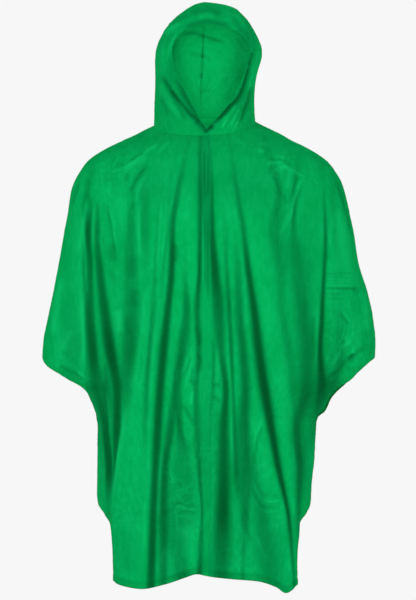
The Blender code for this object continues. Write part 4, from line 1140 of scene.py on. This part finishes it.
def crease_relief(x, z, creases):
    """Sum of the creases: a bell across the nearest point of each line, eased out at both ends."""
    total = np.zeros_like(x)
    for crease in creases:
        line = crease_line(crease)
        reach = CREASE_REACH * crease.breadth * MM
        low, high = line.min(axis=0) - reach, line.max(axis=0) + reach
        near = (x > low[0]) & (x < high[0]) & (z > low[1]) & (z < high[1])
        if not near.any():
            continue
        gaps = np.hypot(x[near][:, None] - line[:, 0], z[near][:, None] - line[:, 1])
        share = gaps.argmin(axis=1) / (CREASE_POINTS - 1)
        fade = ease(share / CREASE_TAPER) * ease((1 - share) / CREASE_TAPER)
        total[near] += crease.height * MM * fade * bell(gaps.min(axis=1) / (crease.breadth * MM))
    return total


def small_relief(x, z, creases, patches, streaks=0.0):
    """Creases, patches, crumpling and pleats together: how high they stand, the share that their
    painted shade leaves unshaded, and how strong their painted highlight is."""
    sizes = bpy.context.scene.poncho_shell
    creased = crease_relief(x, z, creases)
    lift = sizes.crease_depth * creased + streaks
    unshaded = 1 - np.clip(-creased / sizes.dark_groove, 0, GROOVE_SHADE)
    crumpled = np.full_like(x, CRUMPLE_EVERYWHERE)
    for patch in patches:
        share = patch_bell(x, z, patch)
        lift -= patch.sag * MM * share
        unshaded *= 1 - patch.shade * share
        crumpled = np.maximum(crumpled, patch.crumple * share)
    fine = crumple_ridges(x + FINE_CRUMPLE_SHIFT, z, FINE_CRUMPLE_SCALE)
    ridges = crumple_ridges(x, z) + FINE_CRUMPLE_SHARE * fine
    lift += sizes.crumple_height * crumpled * (ridges - CRUMPLE_MEAN)
    unshaded *= 1 - CRUMPLE_SHADE * crumpled * np.clip(1 - CRUMPLE_VALLEY * ridges, 0, 1)
    whitened = np.clip(creased / sizes.highlight_ridge, 0, 1)
    return lift, unshaded, np.maximum(whitened, CRUMPLE_HIGHLIGHT * crumpled * ridges)


def weld_lines(from_edge, along, welds):
    """Relief of a turned hem: a groove at its weld, and puckers of uneven length that fade from it."""
    groove = -welds.groove * bell((from_edge - welds.hem_width) / welds.groove_breadth)
    wave = np.sin(along / PUCKER_LENGTH + PUCKER_BEND * np.sin(along / PUCKER_BEND_LENGTH))
    change = np.sin(along / PUCKER_CHANGE_LENGTH + PUCKER_CHANGE_START)
    wave = wave * (PUCKER_LEAST + PUCKER_CHANGE * change)
    beside = (from_edge - PUCKER_PLACE * welds.hem_width) / (PUCKER_REACH * welds.hem_width)
    return groove + welds.pucker * wave * bell(beside)


def run_length(points, axis):
    """Length so far along the rows or the columns of a grid."""
    steps = np.linalg.norm(np.diff(points, axis=axis), axis=-1)
    zero = np.zeros_like(np.take(steps, [0], axis=axis))
    return np.concatenate([zero, np.cumsum(steps, axis=axis)], axis=axis)


def grid_piece(name, points, flip, looks=(0, 0, 0)):
    """An object whose mesh is the grid: a UV map in metres along the film, and as attributes its
    looks, from 0 to 1: how far it is welded double, and how strong its painted shade and painted
    highlight are."""
    rows, columns = points.shape[:2]
    index = np.arange(rows * columns, dtype=np.int32).reshape(rows, columns)
    corners = [index[:-1, :-1], index[:-1, 1:], index[1:, 1:], index[1:, :-1]]
    quads = np.stack(corners[::-1] if flip else corners, axis=-1).reshape(-1, 4)
    mesh = bpy.data.meshes.new(name)
    mesh.vertices.add(rows * columns)
    mesh.vertices.foreach_set("co", points.astype(np.float32).ravel())
    mesh.loops.add(quads.size)
    mesh.loops.foreach_set("vertex_index", quads.ravel())
    mesh.polygons.add(len(quads))
    mesh.polygons.foreach_set("loop_start", np.arange(0, quads.size, 4, dtype=np.int32))
    mesh.update(calc_edges=True)
    mesh.shade_smooth()
    spread = np.stack([run_length(points, 1), run_length(points, 0)], axis=-1).reshape(-1, 2)
    layer = mesh.uv_layers.new(name="film")
    layer.uv.foreach_set("vector", spread[quads.ravel()].astype(np.float32).ravel())
    for key, values in zip(("doubled", "folded", "whitened"), looks):
        attribute = mesh.attributes.new(key, "FLOAT", "POINT")
        whole = np.broadcast_to(values, (rows, columns)).astype(np.float32)
        attribute.data.foreach_set("value", whole.ravel())
    piece = bpy.data.objects.new(name, mesh)
    bpy.context.scene.collection.objects.link(piece)
    return piece


def finish_piece(piece, node, film):
    """Gives a shell its film, lets it ride on the body and hides the solid that it stands for."""
    piece.data.materials.append(film)
    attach(piece, BODY)
    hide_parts(node)


def body_shell(side, rows, columns, start, welds):
    """A body panel as angles, levels and insets on a grid, with the rows and columns that it has
    before its turned edges.

    The grid has the level sections as rows. Past its free edges it turns back inside by the hem's
    width, and where the panel is closed along the arm it turns in by the weld's fin.
    """
    drop = np.linspace(0, 1, rows - len(TURN_BACK)) ** ROW_CROWDING
    level = np.concatenate([HEM_LEVEL * drop, HEM_LEVEL + TURN_BACK * welds.hem_width])
    hem_inset = np.concatenate([np.zeros(len(drop)), welds.hem_gap * ease(TURN_BACK / TURN_ROUND)])

    share = np.linspace(0, 1, columns - len(TURN_BACK))
    share = share - COLUMN_CROWDING * np.sin(np.pi * share)
    open_share = ease((TIP_LEVEL - level) / OPENING_GROWTH)
    reach = welds.fin + (welds.hem_width - welds.fin) * open_share
    depth = section_size(side, level)
    quarter = np.full(level.shape, np.pi / 2)
    own = start(level)[:, None] + (quarter - start(level))[:, None] * share
    back_turn = quarter[:, None] - TURN_BACK * (reach / depth)[:, None]
    angle = np.concatenate([own, back_turn], axis=1)
    side_gap = welds.hem_gap * SIDE_GAP
    edge_inset = side_gap + (welds.fin - side_gap) * (1 - open_share)
    inset = np.zeros(angle.shape)
    inset[:, len(share):] = edge_inset[:, None] * ease(TURN_BACK / TURN_ROUND)
    inset += hem_inset[:, None]
    level = np.repeat(level[:, None], angle.shape[1], axis=1)
    return angle, level, inset, len(drop), len(share)


def shape_body(angle, level, inset, main_rows, main_columns, back, sizes, welds):
    """The plain surface, its normals, how far folds, creases and welds lift it along them, less the
    hems' insets, and its looks: how far it is doubled, its painted shade and its painted highlight."""
    plain = plain_surface(angle, level, back)
    step = SLOPE_STEP
    along = plain_surface(angle + step, level, back) - plain_surface(angle - step, level, back)
    down = plain_surface(angle, level - step, back) - plain_surface(angle, level + step, back)
    normal = unit(np.cross(along, down) * (1 if back else -1))
    folds, creases = (BACK_FOLDS, BACK_CREASES) if back else (FRONT_FOLDS, FRONT_CREASES)
    patches = BACK_PATCHES if back else FRONT_PATCHES
    x, z = plain[..., 0], plain[..., 2]
    streaks = sizes.streak_height * streak_relief(angle, level)
    lift, unshaded, whitened = small_relief(x, z, creases, patches, streaks)
    lift += fold_relief(x, z, folds, sizes.steepness)
    unshaded *= 1 - fold_shade(x, z, folds)
    edge_run = run_length(plain, 1)
    from_side = np.abs(edge_run[:, main_columns - 1 : main_columns] - edge_run)
    hem_run = run_length(plain, 0)
    from_hem = np.abs(hem_run[main_rows - 1] - hem_run)
    is_open = ease((TIP_LEVEL + SIDE_WELD_START - level) / SIDE_WELD_GROWTH)
    lift += weld_lines(from_hem, edge_run, welds)
    lift += weld_lines(from_side, hem_run, welds) * is_open
    lift = lift * ease(-level / NECK_FADE)
    doubled = np.maximum(
        ease((welds.hem_width - from_hem) / WELD_BLEND),
        ease((welds.hem_width - from_side) / WELD_BLEND) * is_open,
    )
    return plain, normal, lift - inset, (doubled, 1 - unshaded, whitened)


def lap_inset(across, gap):
    """How far the right side dips under the left one, by the distance across."""
    return gap * ease((across + LAP_OVER + LAP_STEP + LAP_SPARE) / LAP_STEP)


def front_start(sign):
    """The angle of a front's free edge in the lap, at each level: the arc sine of its place across."""

    def start(level):
        across = -LAP_OVER if sign > 0 else -LAP_UNDER
        return np.arcsin(across / half_width(np.float64(across), level, False))

    return start


def front_shell(name, sign, film):
    """One front, mirrored in angle for the wearer's right; gives its points, normals and looks."""
    sizes, welds = bpy.context.scene.poncho_shell, bpy.context.scene.poncho_welds
    grid = body_shell("front", sizes.body_rows, sizes.front_columns, front_start(sign), welds)
    angle, level, inset, main_rows, main_columns = grid
    plain, normal, lift, looks = shape_body(
        angle * sign, level, inset, main_rows, main_columns, False, sizes, welds
    )
    if sign < 0:
        lift = lift - lap_inset(plain[..., 0], sizes.layer_gap)
    points = plain + normal * lift[..., None]
    piece = grid_piece(name, points, sign > 0, looks)
    finish_piece(piece, name.replace("_film", "_panel"), film)
    return points, normal, looks


def hood_turns(sign):
    """Where the hood's arches stand on the neck seam; the first one laps past the centre."""
    share = np.linspace(0, len(HOOD_ARCHES) - 1, HOOD_KNOTS)
    degrees = [row.neck_angle for row in HOOD_ARCHES]
    turns = np.radians(smooth_table(share, range(len(HOOD_ARCHES)), degrees))
    edge = -LAP_OVER if sign > 0 else LAP_UNDER
    turns[0] = sign * np.arcsin(edge / half_width(np.float64(edge), np.float64(0), False))
    return turns


def neck_ring(turn):
    """Points of the neck seam, by the turn from the front: below zero on the wearer's right."""
    away = np.abs(turn)
    back = away > np.pi / 2
    own = np.where(back, np.pi - away, away) * np.sign(turn)
    front_points = plain_surface(own, np.zeros_like(own), False)
    back_points = plain_surface(own, np.zeros_like(own), True)
    return np.where(back[..., None], back_points, front_points)


def hood_surface(share, rise, sign):
    """A point of the hood: a cubic arch from the neck seam to the crown seam, whose two handles
    bulge out low down and high up; the arches' sizes change smoothly around the fan."""
    rows = range(len(HOOD_ARCHES))
    own = "left" if sign > 0 else "right"

    def column(name):
        return smooth_table(share, rows, [getattr(row, name) for row in HOOD_ARCHES])

    knots = np.linspace(0, len(HOOD_ARCHES) - 1, HOOD_KNOTS)
    turn = smooth_table(share, knots, hood_turns(sign))
    foot = neck_ring(turn * sign)
    foot_x = foot[..., 0] * sign
    low, high = column("low_" + own) * MM, column("high_" + own) * MM
    low_at, high_at = column("low_at"), column("high_at")
    first, second, third = 3 * (1 - rise) ** 2 * rise, 3 * (1 - rise) * rise**2, rise**3
    x = foot_x * (1 - rise) ** 3 + low * first + high * second
    climb = low_at * first + high_at * second + third
    y = foot[..., 1] + (column("crown_y") * MM - foot[..., 1]) * climb
    y = y + column("bow") * MM * np.sin(np.pi * climb)
    z = foot[..., 2] + (column("crown_z") * MM - foot[..., 2]) * climb
    for swell in HOOD_SWELLS:
        if swell.side == sign:
            off = (z - swell.height * MM) / (swell.breadth * MM)
            x = x + swell.out * MM * bell(off) * x / (high + SLOPE_STEP)
    return np.stack([x * sign, y, z], axis=-1)


def hood_relief(points, share, rise):
    """The hood's own creases and patches, as lift, painted shade and painted highlight: those round
    the face where the film faces forward, and those of the back wall behind. Their lift fades out at
    the neck and on the crown's seam."""
    x, z = points[..., 0], points[..., 2]
    behind = ease((share - FACE_SIDE) / FACE_BLEND)
    face = small_relief(x, z, HOOD_FACE_CREASES, HOOD_FACE_PATCHES)
    inside = small_relief(x, z, HOOD_INSIDE_CREASES, HOOD_INSIDE_PATCHES)
    lift, unshaded, whitened = (own * (1 - behind) + far * behind for own, far in zip(face, inside))
    fade = ease(rise / HOOD_FOOT_FADE) * ease((1 - rise) / HOOD_CROWN_FADE)
    return lift * fade, 1 - unshaded, whitened


def hood_shape(share, rise, sign):
    """Points and outward normals of one half of the hood with its looks, its right half dipped
    under at the chin."""
    step = HOOD_STEP
    last = len(HOOD_ARCHES) - 1
    points = hood_surface(share, rise, sign)
    around = hood_surface(np.minimum(share + step, last), rise, sign)
    around = around - hood_surface(np.maximum(share - step, 0), rise, sign)
    up = hood_surface(share, np.minimum(rise + step, 1), sign)
    up = up - hood_surface(share, np.maximum(rise - step, 0), sign)
    normal = np.cross(around, up) * sign
    on_crown = rise > 1 - AT_END
    on_back_seam = share > last - AT_END
    level_out = np.zeros(share.shape)
    over_crown = np.stack([level_out, -around[..., 2], around[..., 1]], axis=-1)
    down_back = np.stack([level_out, up[..., 2], -up[..., 1]], axis=-1)
    normal = np.where(on_back_seam[..., None], down_back, normal)
    normal = unit(np.where(on_crown[..., None], over_crown, normal))
    rim = RIM_SLACK[sign]
    slack = rim.inward * MM * bell((points[..., 2] / MM - rim.height) / rim.reach)
    points[..., 0] -= sign * slack * ease(1 - share / SLACK_SHARE) * ease(rise / SLACK_FOOT)
    if sign < 0:
        gap = bpy.context.scene.poncho_shell.layer_gap
        inset = lap_inset(points[..., 0], gap) * ease((CHIN_TOP - points[..., 2]) / CHIN_FADE)
        points = points - normal * inset[..., None]
    lift, folded, whitened = hood_relief(points, share, rise)
    points = points + normal * lift[..., None]
    heights, across = np.array(SEAM_DRIFT["height"]) * MM, np.array(SEAM_DRIFT["across"]) * MM
    drift = smooth_table(points[..., 2], heights, across)
    drift = np.where(points[..., 2] > heights[0], drift, 0)
    near_seam = bell(points[..., 0] / DRIFT_REACH) * ease((share - DRIFT_START) / DRIFT_GROWTH)
    points[..., 0] += drift * near_seam
    return points, normal, (np.zeros_like(folded), folded, whitened)


def linear(hex_code):
    """sRGB hex to a linear RGBA colour: each part to the power 2.4, with the straight toe near black."""
    parts = np.array([int(hex_code[at : at + 2], 16) / 255 for at in (0, 2, 4)])
    toe = parts <= 0.04045
    colour = np.where(toe, parts / 12.92, ((parts + 0.055) / 1.055) ** 2.4)
    return (*colour.tolist(), 1.0)


def add_node(tree, kind, settings=(), values=(), links=()):
    """A node with its settings, the values of its sockets and its incoming links, each as (key, value)."""
    node = tree.nodes.new(kind)
    for key, value in settings:
        setattr(node, key, value)
    for key, value in values:
        node.inputs[key].default_value = value
    for key, source in links:
        tree.links.new(source, node.inputs[key])
    return node


def soft_pvc_film():
    """Plasticised PVC film, calendered and embossed very finely: a satin face without a mirror's
    shine, whose soft sheen takes the film's own green. Two sizes of small crinkles from packing
    bend it and cloud its green a little. A painted highlight lightens the green along sharp ridges,
    and where two layers are welded the green stays even. It is thin, so some of the light behind it
    comes through. Painted shade darkens the green deep in folds, in grooves and on shaded patches."""
    film = bpy.context.scene.poncho_film
    material = bpy.data.materials.new("soft_pvc_film")
    material.use_nodes = True
    tree = material.node_tree
    shader = tree.nodes["Principled BSDF"]
    shader.inputs["Roughness"].default_value = film.roughness
    shader.inputs["IOR"].default_value = FILM_IOR
    shader.inputs["Specular IOR Level"].default_value = 0.0
    shader.inputs["Sheen Weight"].default_value = SHEEN
    shader.inputs["Sheen Roughness"].default_value = SHEEN_ROUGHNESS
    shader.inputs["Sheen Tint"].default_value = SHEEN_TINT
    across = add_node(tree, "ShaderNodeUVMap", [("uv_map", "film")])
    stretch = add_node(
        tree,
        "ShaderNodeMapping",
        values=[("Scale", CRINKLE_STRETCH)],
        links=[("Vector", across.outputs["UV"])],
    )
    crinkles, bumps = [], []
    for crinkle in (WIDE_CRINKLE, FINE_CRINKLE):
        noise = add_node(
            tree,
            "ShaderNodeTexNoise",
            [("noise_dimensions", "2D")],
            [
                ("Scale", crinkle.scale / film.crinkle),
                ("Detail", crinkle.detail),
                ("Roughness", crinkle.roughness),
            ],
            [("Vector", stretch.outputs["Vector"])],
        )
        bump = add_node(
            tree,
            "ShaderNodeBump",
            values=[("Strength", 1.0), ("Distance", crinkle.height)],
            links=[("Height", noise.outputs["Fac"])] + [("Normal", wider) for wider in bumps],
        )
        crinkles.append(noise.outputs["Fac"])
        bumps.append(bump.outputs["Normal"])
    mottled = add_node(
        tree,
        "ShaderNodeMix",
        values=[(0, MOTTLE_SHARE)],
        links=[(2, crinkles[0]), (3, crinkles[1])],
    )
    cloud = add_node(
        tree,
        "ShaderNodeMapRange",
        values=[("From Min", CLOUD_START), ("From Max", CLOUD_END)],
        links=[("Value", mottled.outputs[0])],
    )
    green = add_node(
        tree,
        "ShaderNodeMix",
        [("data_type", "RGBA")],
        [(6, linear(film.green)), (7, linear(film.clouded_green))],
        [(0, cloud.outputs["Result"])],
    )
    colour = green.outputs[2]
    # Painted highlight, the doubled green and painted shade are mixed in by their attributes.
    for look, hex_code in (
        ("whitened", film.painted_highlight_green),
        ("doubled", film.doubled_green),
        ("folded", film.painted_shade_green),
    ):
        share = add_node(tree, "ShaderNodeAttribute", [("attribute_name", look)])
        mix = add_node(
            tree,
            "ShaderNodeMix",
            [("data_type", "RGBA")],
            [(7, linear(hex_code))],
            [(0, share.outputs["Fac"]), (6, colour)],
        )
        colour = mix.outputs[2]
    through = add_node(
        tree,
        "ShaderNodeBsdfTranslucent",
        links=[("Color", colour), ("Normal", bumps[0])],
    )
    thin = add_node(
        tree,
        "ShaderNodeMixShader",
        values=[(0, film.see_through)],
        links=[(1, shader.outputs["BSDF"]), (2, through.outputs["BSDF"])],
    )
    tree.links.new(thin.outputs["Shader"], tree.nodes["Material Output"].inputs["Surface"])
    tree.links.new(colour, shader.inputs["Base Color"])
    tree.links.new(bumps[1], shader.inputs["Normal"])
    return material


def film_material():
    """The one film that every piece is cut from, made by the first operator that needs it."""
    return bpy.data.materials.get("soft_pvc_film") or soft_pvc_film()


class PONCHO_OT_fronts(bpy.types.Operator):
    """Both fronts with their folds, and the band along the opening"""

    bl_idname = "poncho.fronts"
    bl_label = "Fronts and band"

    def execute(self, context):
        film = film_material()
        front_shell("front_right_film", -1, film)
        points, normal, looks = front_shell("front_left_film", 1, film)
        sizes, welds = context.scene.poncho_shell, context.scene.poncho_welds
        band_columns = int(np.searchsorted(points[BAND_MEASURE_ROW, :, 0], LAP_UNDER))
        under = np.s_[BAND_TOP_ROW : -len(TURN_BACK), : band_columns + 1]
        own, out = points[under], normal[under]
        share = np.linspace(0, 1, own.shape[1])
        rounded = BAND_EDGE_LIFT + BAND_MIDDLE_LIFT * np.sin(np.pi * share) ** 0.5
        strip = own + out * (sizes.band_gap * rounded)[:, None]
        tucked_in = own[:, [0]] - out[:, [0]] * welds.hem_gap
        tucked_out = own[:, [-1]] - out[:, [-1]] * BAND_TUCK
        strip = np.concatenate([tucked_in, strip, tucked_out], axis=1)
        band_looks = [np.pad(look[under], ((0, 0), (1, 1)), mode="edge") for look in looks]
        band = grid_piece("front_band_film", strip, True, (BAND_DOUBLED, *band_looks[1:]))
        finish_piece(band, "front_band", film)
        return {"FINISHED"}


class PONCHO_OT_back(bpy.types.Operator):
    """The back with its folds, from one arm's seam to the other's"""

    bl_idname = "poncho.back"
    bl_label = "Back"

    def execute(self, context):
        sizes, welds = context.scene.poncho_shell, context.scene.poncho_welds
        half = sizes.back_columns // 2 + 1

        def middle(level):
            return np.zeros_like(level)

        angle, level, inset, main_rows, main_columns = body_shell(
            "back", sizes.back_rows, half, middle, welds
        )
        sides = []
        for sign in (-1, 1):
            plain, normal, lift, looks = shape_body(
                angle * sign, level, inset, main_rows, main_columns, True, sizes, welds
            )
            sides.append((plain + normal * lift[..., None], *looks))
        whole = [np.concatenate([right[:, :0:-1], left], axis=1) for right, left in zip(*sides)]
        piece = grid_piece("back_film", whole[0], False, whole[1:])
        finish_piece(piece, "back_panel", film_material())
        return {"FINISHED"}


class PONCHO_OT_hood(bpy.types.Operator):
    """Both halves of the hood and the hem round the face"""

    bl_idname = "poncho.hood"
    bl_label = "Hood"

    def execute(self, context):
        sizes, welds = context.scene.poncho_hood, context.scene.poncho_welds
        film = film_material()
        rises = np.linspace(0, 1, sizes.rows)
        shares = np.linspace(0, len(HOOD_ARCHES) - 1, sizes.columns)
        for name, sign in (("hood_right_film", -1), ("hood_left_film", 1)):
            share, rise = np.meshgrid(shares, rises)
            points, normal, looks = hood_shape(share, rise, sign)
            fin = points[:1] * (HOOD_FIN_NARROWING, HOOD_FIN_NARROWING, 1)
            fin = fin - np.array((0, 0, HOOD_FIN_DROP * welds.fin))
            points = np.concatenate([fin, points])
            looks = [np.concatenate([look[:1], look]) for look in looks]
            piece = grid_piece(name, points, sign < 0, looks)
            finish_piece(piece, name.replace("_film", ""), film)
        turns = np.linspace(0, 1, sizes.rim_columns)
        outer = np.maximum(1 - 2 * turns, 0) * sizes.rim_share
        inner = np.maximum(2 * turns - 1, 0) * sizes.rim_share * RIM_INNER_REACH
        offset = sizes.rim_gap * np.cos(np.pi * ease((turns - RIM_TURN_START) / RIM_TURN))
        edge = np.exp(-(((turns - 0.5) / RIM_EDGE) ** 2))
        forward = edge[:, None] * np.array((0, -sizes.rim_gap, 0))
        halves = []
        for sign in (-1, 1):
            share, rise = np.meshgrid(outer + inner, rises)
            points, normal, looks = hood_shape(share, rise, sign)
            halves.append((points + normal * offset[:, None] + forward, *looks))
        whole = [np.concatenate([right, left[-2::-1]]) for right, left in zip(*halves)]
        rim = grid_piece("hood_face_hem_film", whole[0], False, (RIM_DOUBLED, *whole[2:]))
        finish_piece(rim, "hood_face_hem", film)
        return {"FINISHED"}


def look_along(aim):
    """Euler angles that point -Z along the aim with +Y up: a tilt from straight down, then a turn."""
    flat = np.hypot(aim[0], aim[1])
    return (np.arctan2(flat, -aim[2]), 0.0, np.arctan2(-aim[0], aim[1]))


def studio_world(stage):
    """The backdrop's colour for the camera, and an even white light for all other rays."""
    world = bpy.data.worlds.new("studio")
    world.use_nodes = True
    tree = world.node_tree
    tree.nodes.clear()
    shown = add_node(tree, "ShaderNodeBackground", values=[("Color", linear(stage.backdrop))])
    light = add_node(
        tree,
        "ShaderNodeBackground",
        values=[("Color", (1, 1, 1, 1)), ("Strength", stage.room_light)],
    )
    path = add_node(tree, "ShaderNodeLightPath")
    mix = add_node(
        tree,
        "ShaderNodeMixShader",
        links=[
            (0, path.outputs["Is Camera Ray"]),
            (1, light.outputs["Background"]),
            (2, shown.outputs["Background"]),
        ],
    )
    add_node(tree, "ShaderNodeOutputWorld", links=[("Surface", mix.outputs["Shader"])])
    return world


def matt_floor_paint(stage):
    """Pale matt paint, rolled on: it spreads light evenly and shows hardly any highlight."""
    paint = bpy.data.materials.new("matt_floor_paint")
    paint.use_nodes = True
    shader = paint.node_tree.nodes["Principled BSDF"]
    shader.inputs["Base Color"].default_value = linear(stage.floor)
    shader.inputs["Roughness"].default_value = FLOOR_ROUGHNESS
    return paint


class PONCHO_OT_stage(bpy.types.Operator):
    """A plain pale floor, soft studio light and the camera"""

    bl_idname = "poncho.stage"
    bl_label = "Stage"

    def execute(self, context):
        scene = context.scene
        stage = scene.poncho_stage
        scene.view_settings.view_transform = "Standard"
        scene.view_settings.look = "None"
        scene.world = studio_world(stage)

        around = np.linspace(0, 2 * np.pi, FLOOR_SPOKES)
        radius = np.linspace(FLOOR_HOLE, FLOOR_RADIUS, FLOOR_RINGS)[:, None]
        height = np.full((FLOOR_RINGS, FLOOR_SPOKES), stage.floor_height)
        disc = np.stack([radius * np.cos(around), radius * np.sin(around), height], axis=-1)
        floor = grid_piece("studio_floor", disc, False)
        floor.data.materials.append(matt_floor_paint(stage))

        for row in LAMPS:
            data = bpy.data.lights.new(row.name, "AREA")
            data.size = row.size
            data.energy = getattr(stage, row.power)
            lamp = bpy.data.objects.new(row.name, data)
            lamp.location = row.place
            lamp.rotation_euler = look_along(np.array(LAMP_AIM) - np.array(row.place))
            lamp.visible_camera = False
            lamp.visible_glossy = row.shines
            scene.collection.objects.link(lamp)

        data = bpy.data.cameras.new("camera")
        data.sensor_fit = "VERTICAL"
        data.sensor_height = SENSOR_HEIGHT
        data.lens = SENSOR_HEIGHT * stage.distance / stage.field
        camera = bpy.data.objects.new("camera", data)
        camera.location = (stage.eye_across, -stage.distance, stage.eye_height)
        camera.rotation_euler = look_along(np.array((0, 1, 0)))
        scene.collection.objects.link(camera)
        scene.camera = camera
        return {"FINISHED"}


class PONCHO_PT_panel(bpy.types.Panel):
    """Lists the poncho's pieces, their sizes and the stage"""

    bl_idname = "PONCHO_PT_panel"
    bl_label = "Rain poncho"
    bl_space_type = "VIEW_3D"
    bl_region_type = "UI"
    bl_category = "Poncho"

    def draw(self, context):
        for operator in OPERATORS:
            self.layout.operator(operator.bl_idname)
        for name in GROUPS:
            box = self.layout.box()
            group = getattr(context.scene, name)
            for key in group.bl_rna.properties.keys():
                if key not in ("rna_type", "name"):
                    box.prop(group, key)


GROUPS = {
    "poncho_shell": PonchoShell,
    "poncho_welds": PonchoWelds,
    "poncho_hood": PonchoHood,
    "poncho_film": PonchoFilm,
    "poncho_stage": PonchoStage,
}
OPERATORS = (PONCHO_OT_fronts, PONCHO_OT_back, PONCHO_OT_hood, PONCHO_OT_stage)


def register():
    """Registers the groups, each as a property of the scene, the operators and the panel."""
    for name, group in GROUPS.items():
        bpy.utils.register_class(group)
        setattr(bpy.types.Scene, name, bpy.props.PointerProperty(type=group))
    for item in (*OPERATORS, PONCHO_PT_panel):
        bpy.utils.register_class(item)


def unregister():
    """Takes away what register adds, in reverse order."""
    for item in (PONCHO_PT_panel, *OPERATORS[::-1]):
        bpy.utils.unregister_class(item)
    for name, group in reversed(GROUPS.items()):
        delattr(bpy.types.Scene, name)
        bpy.utils.unregister_class(group)


def main():
    """Builds the poncho and its stage."""
    register()
    bpy.ops.poncho.fronts()
    bpy.ops.poncho.back()
    bpy.ops.poncho.hood()
    bpy.ops.poncho.stage()


if __name__ == "__main__":
    main()
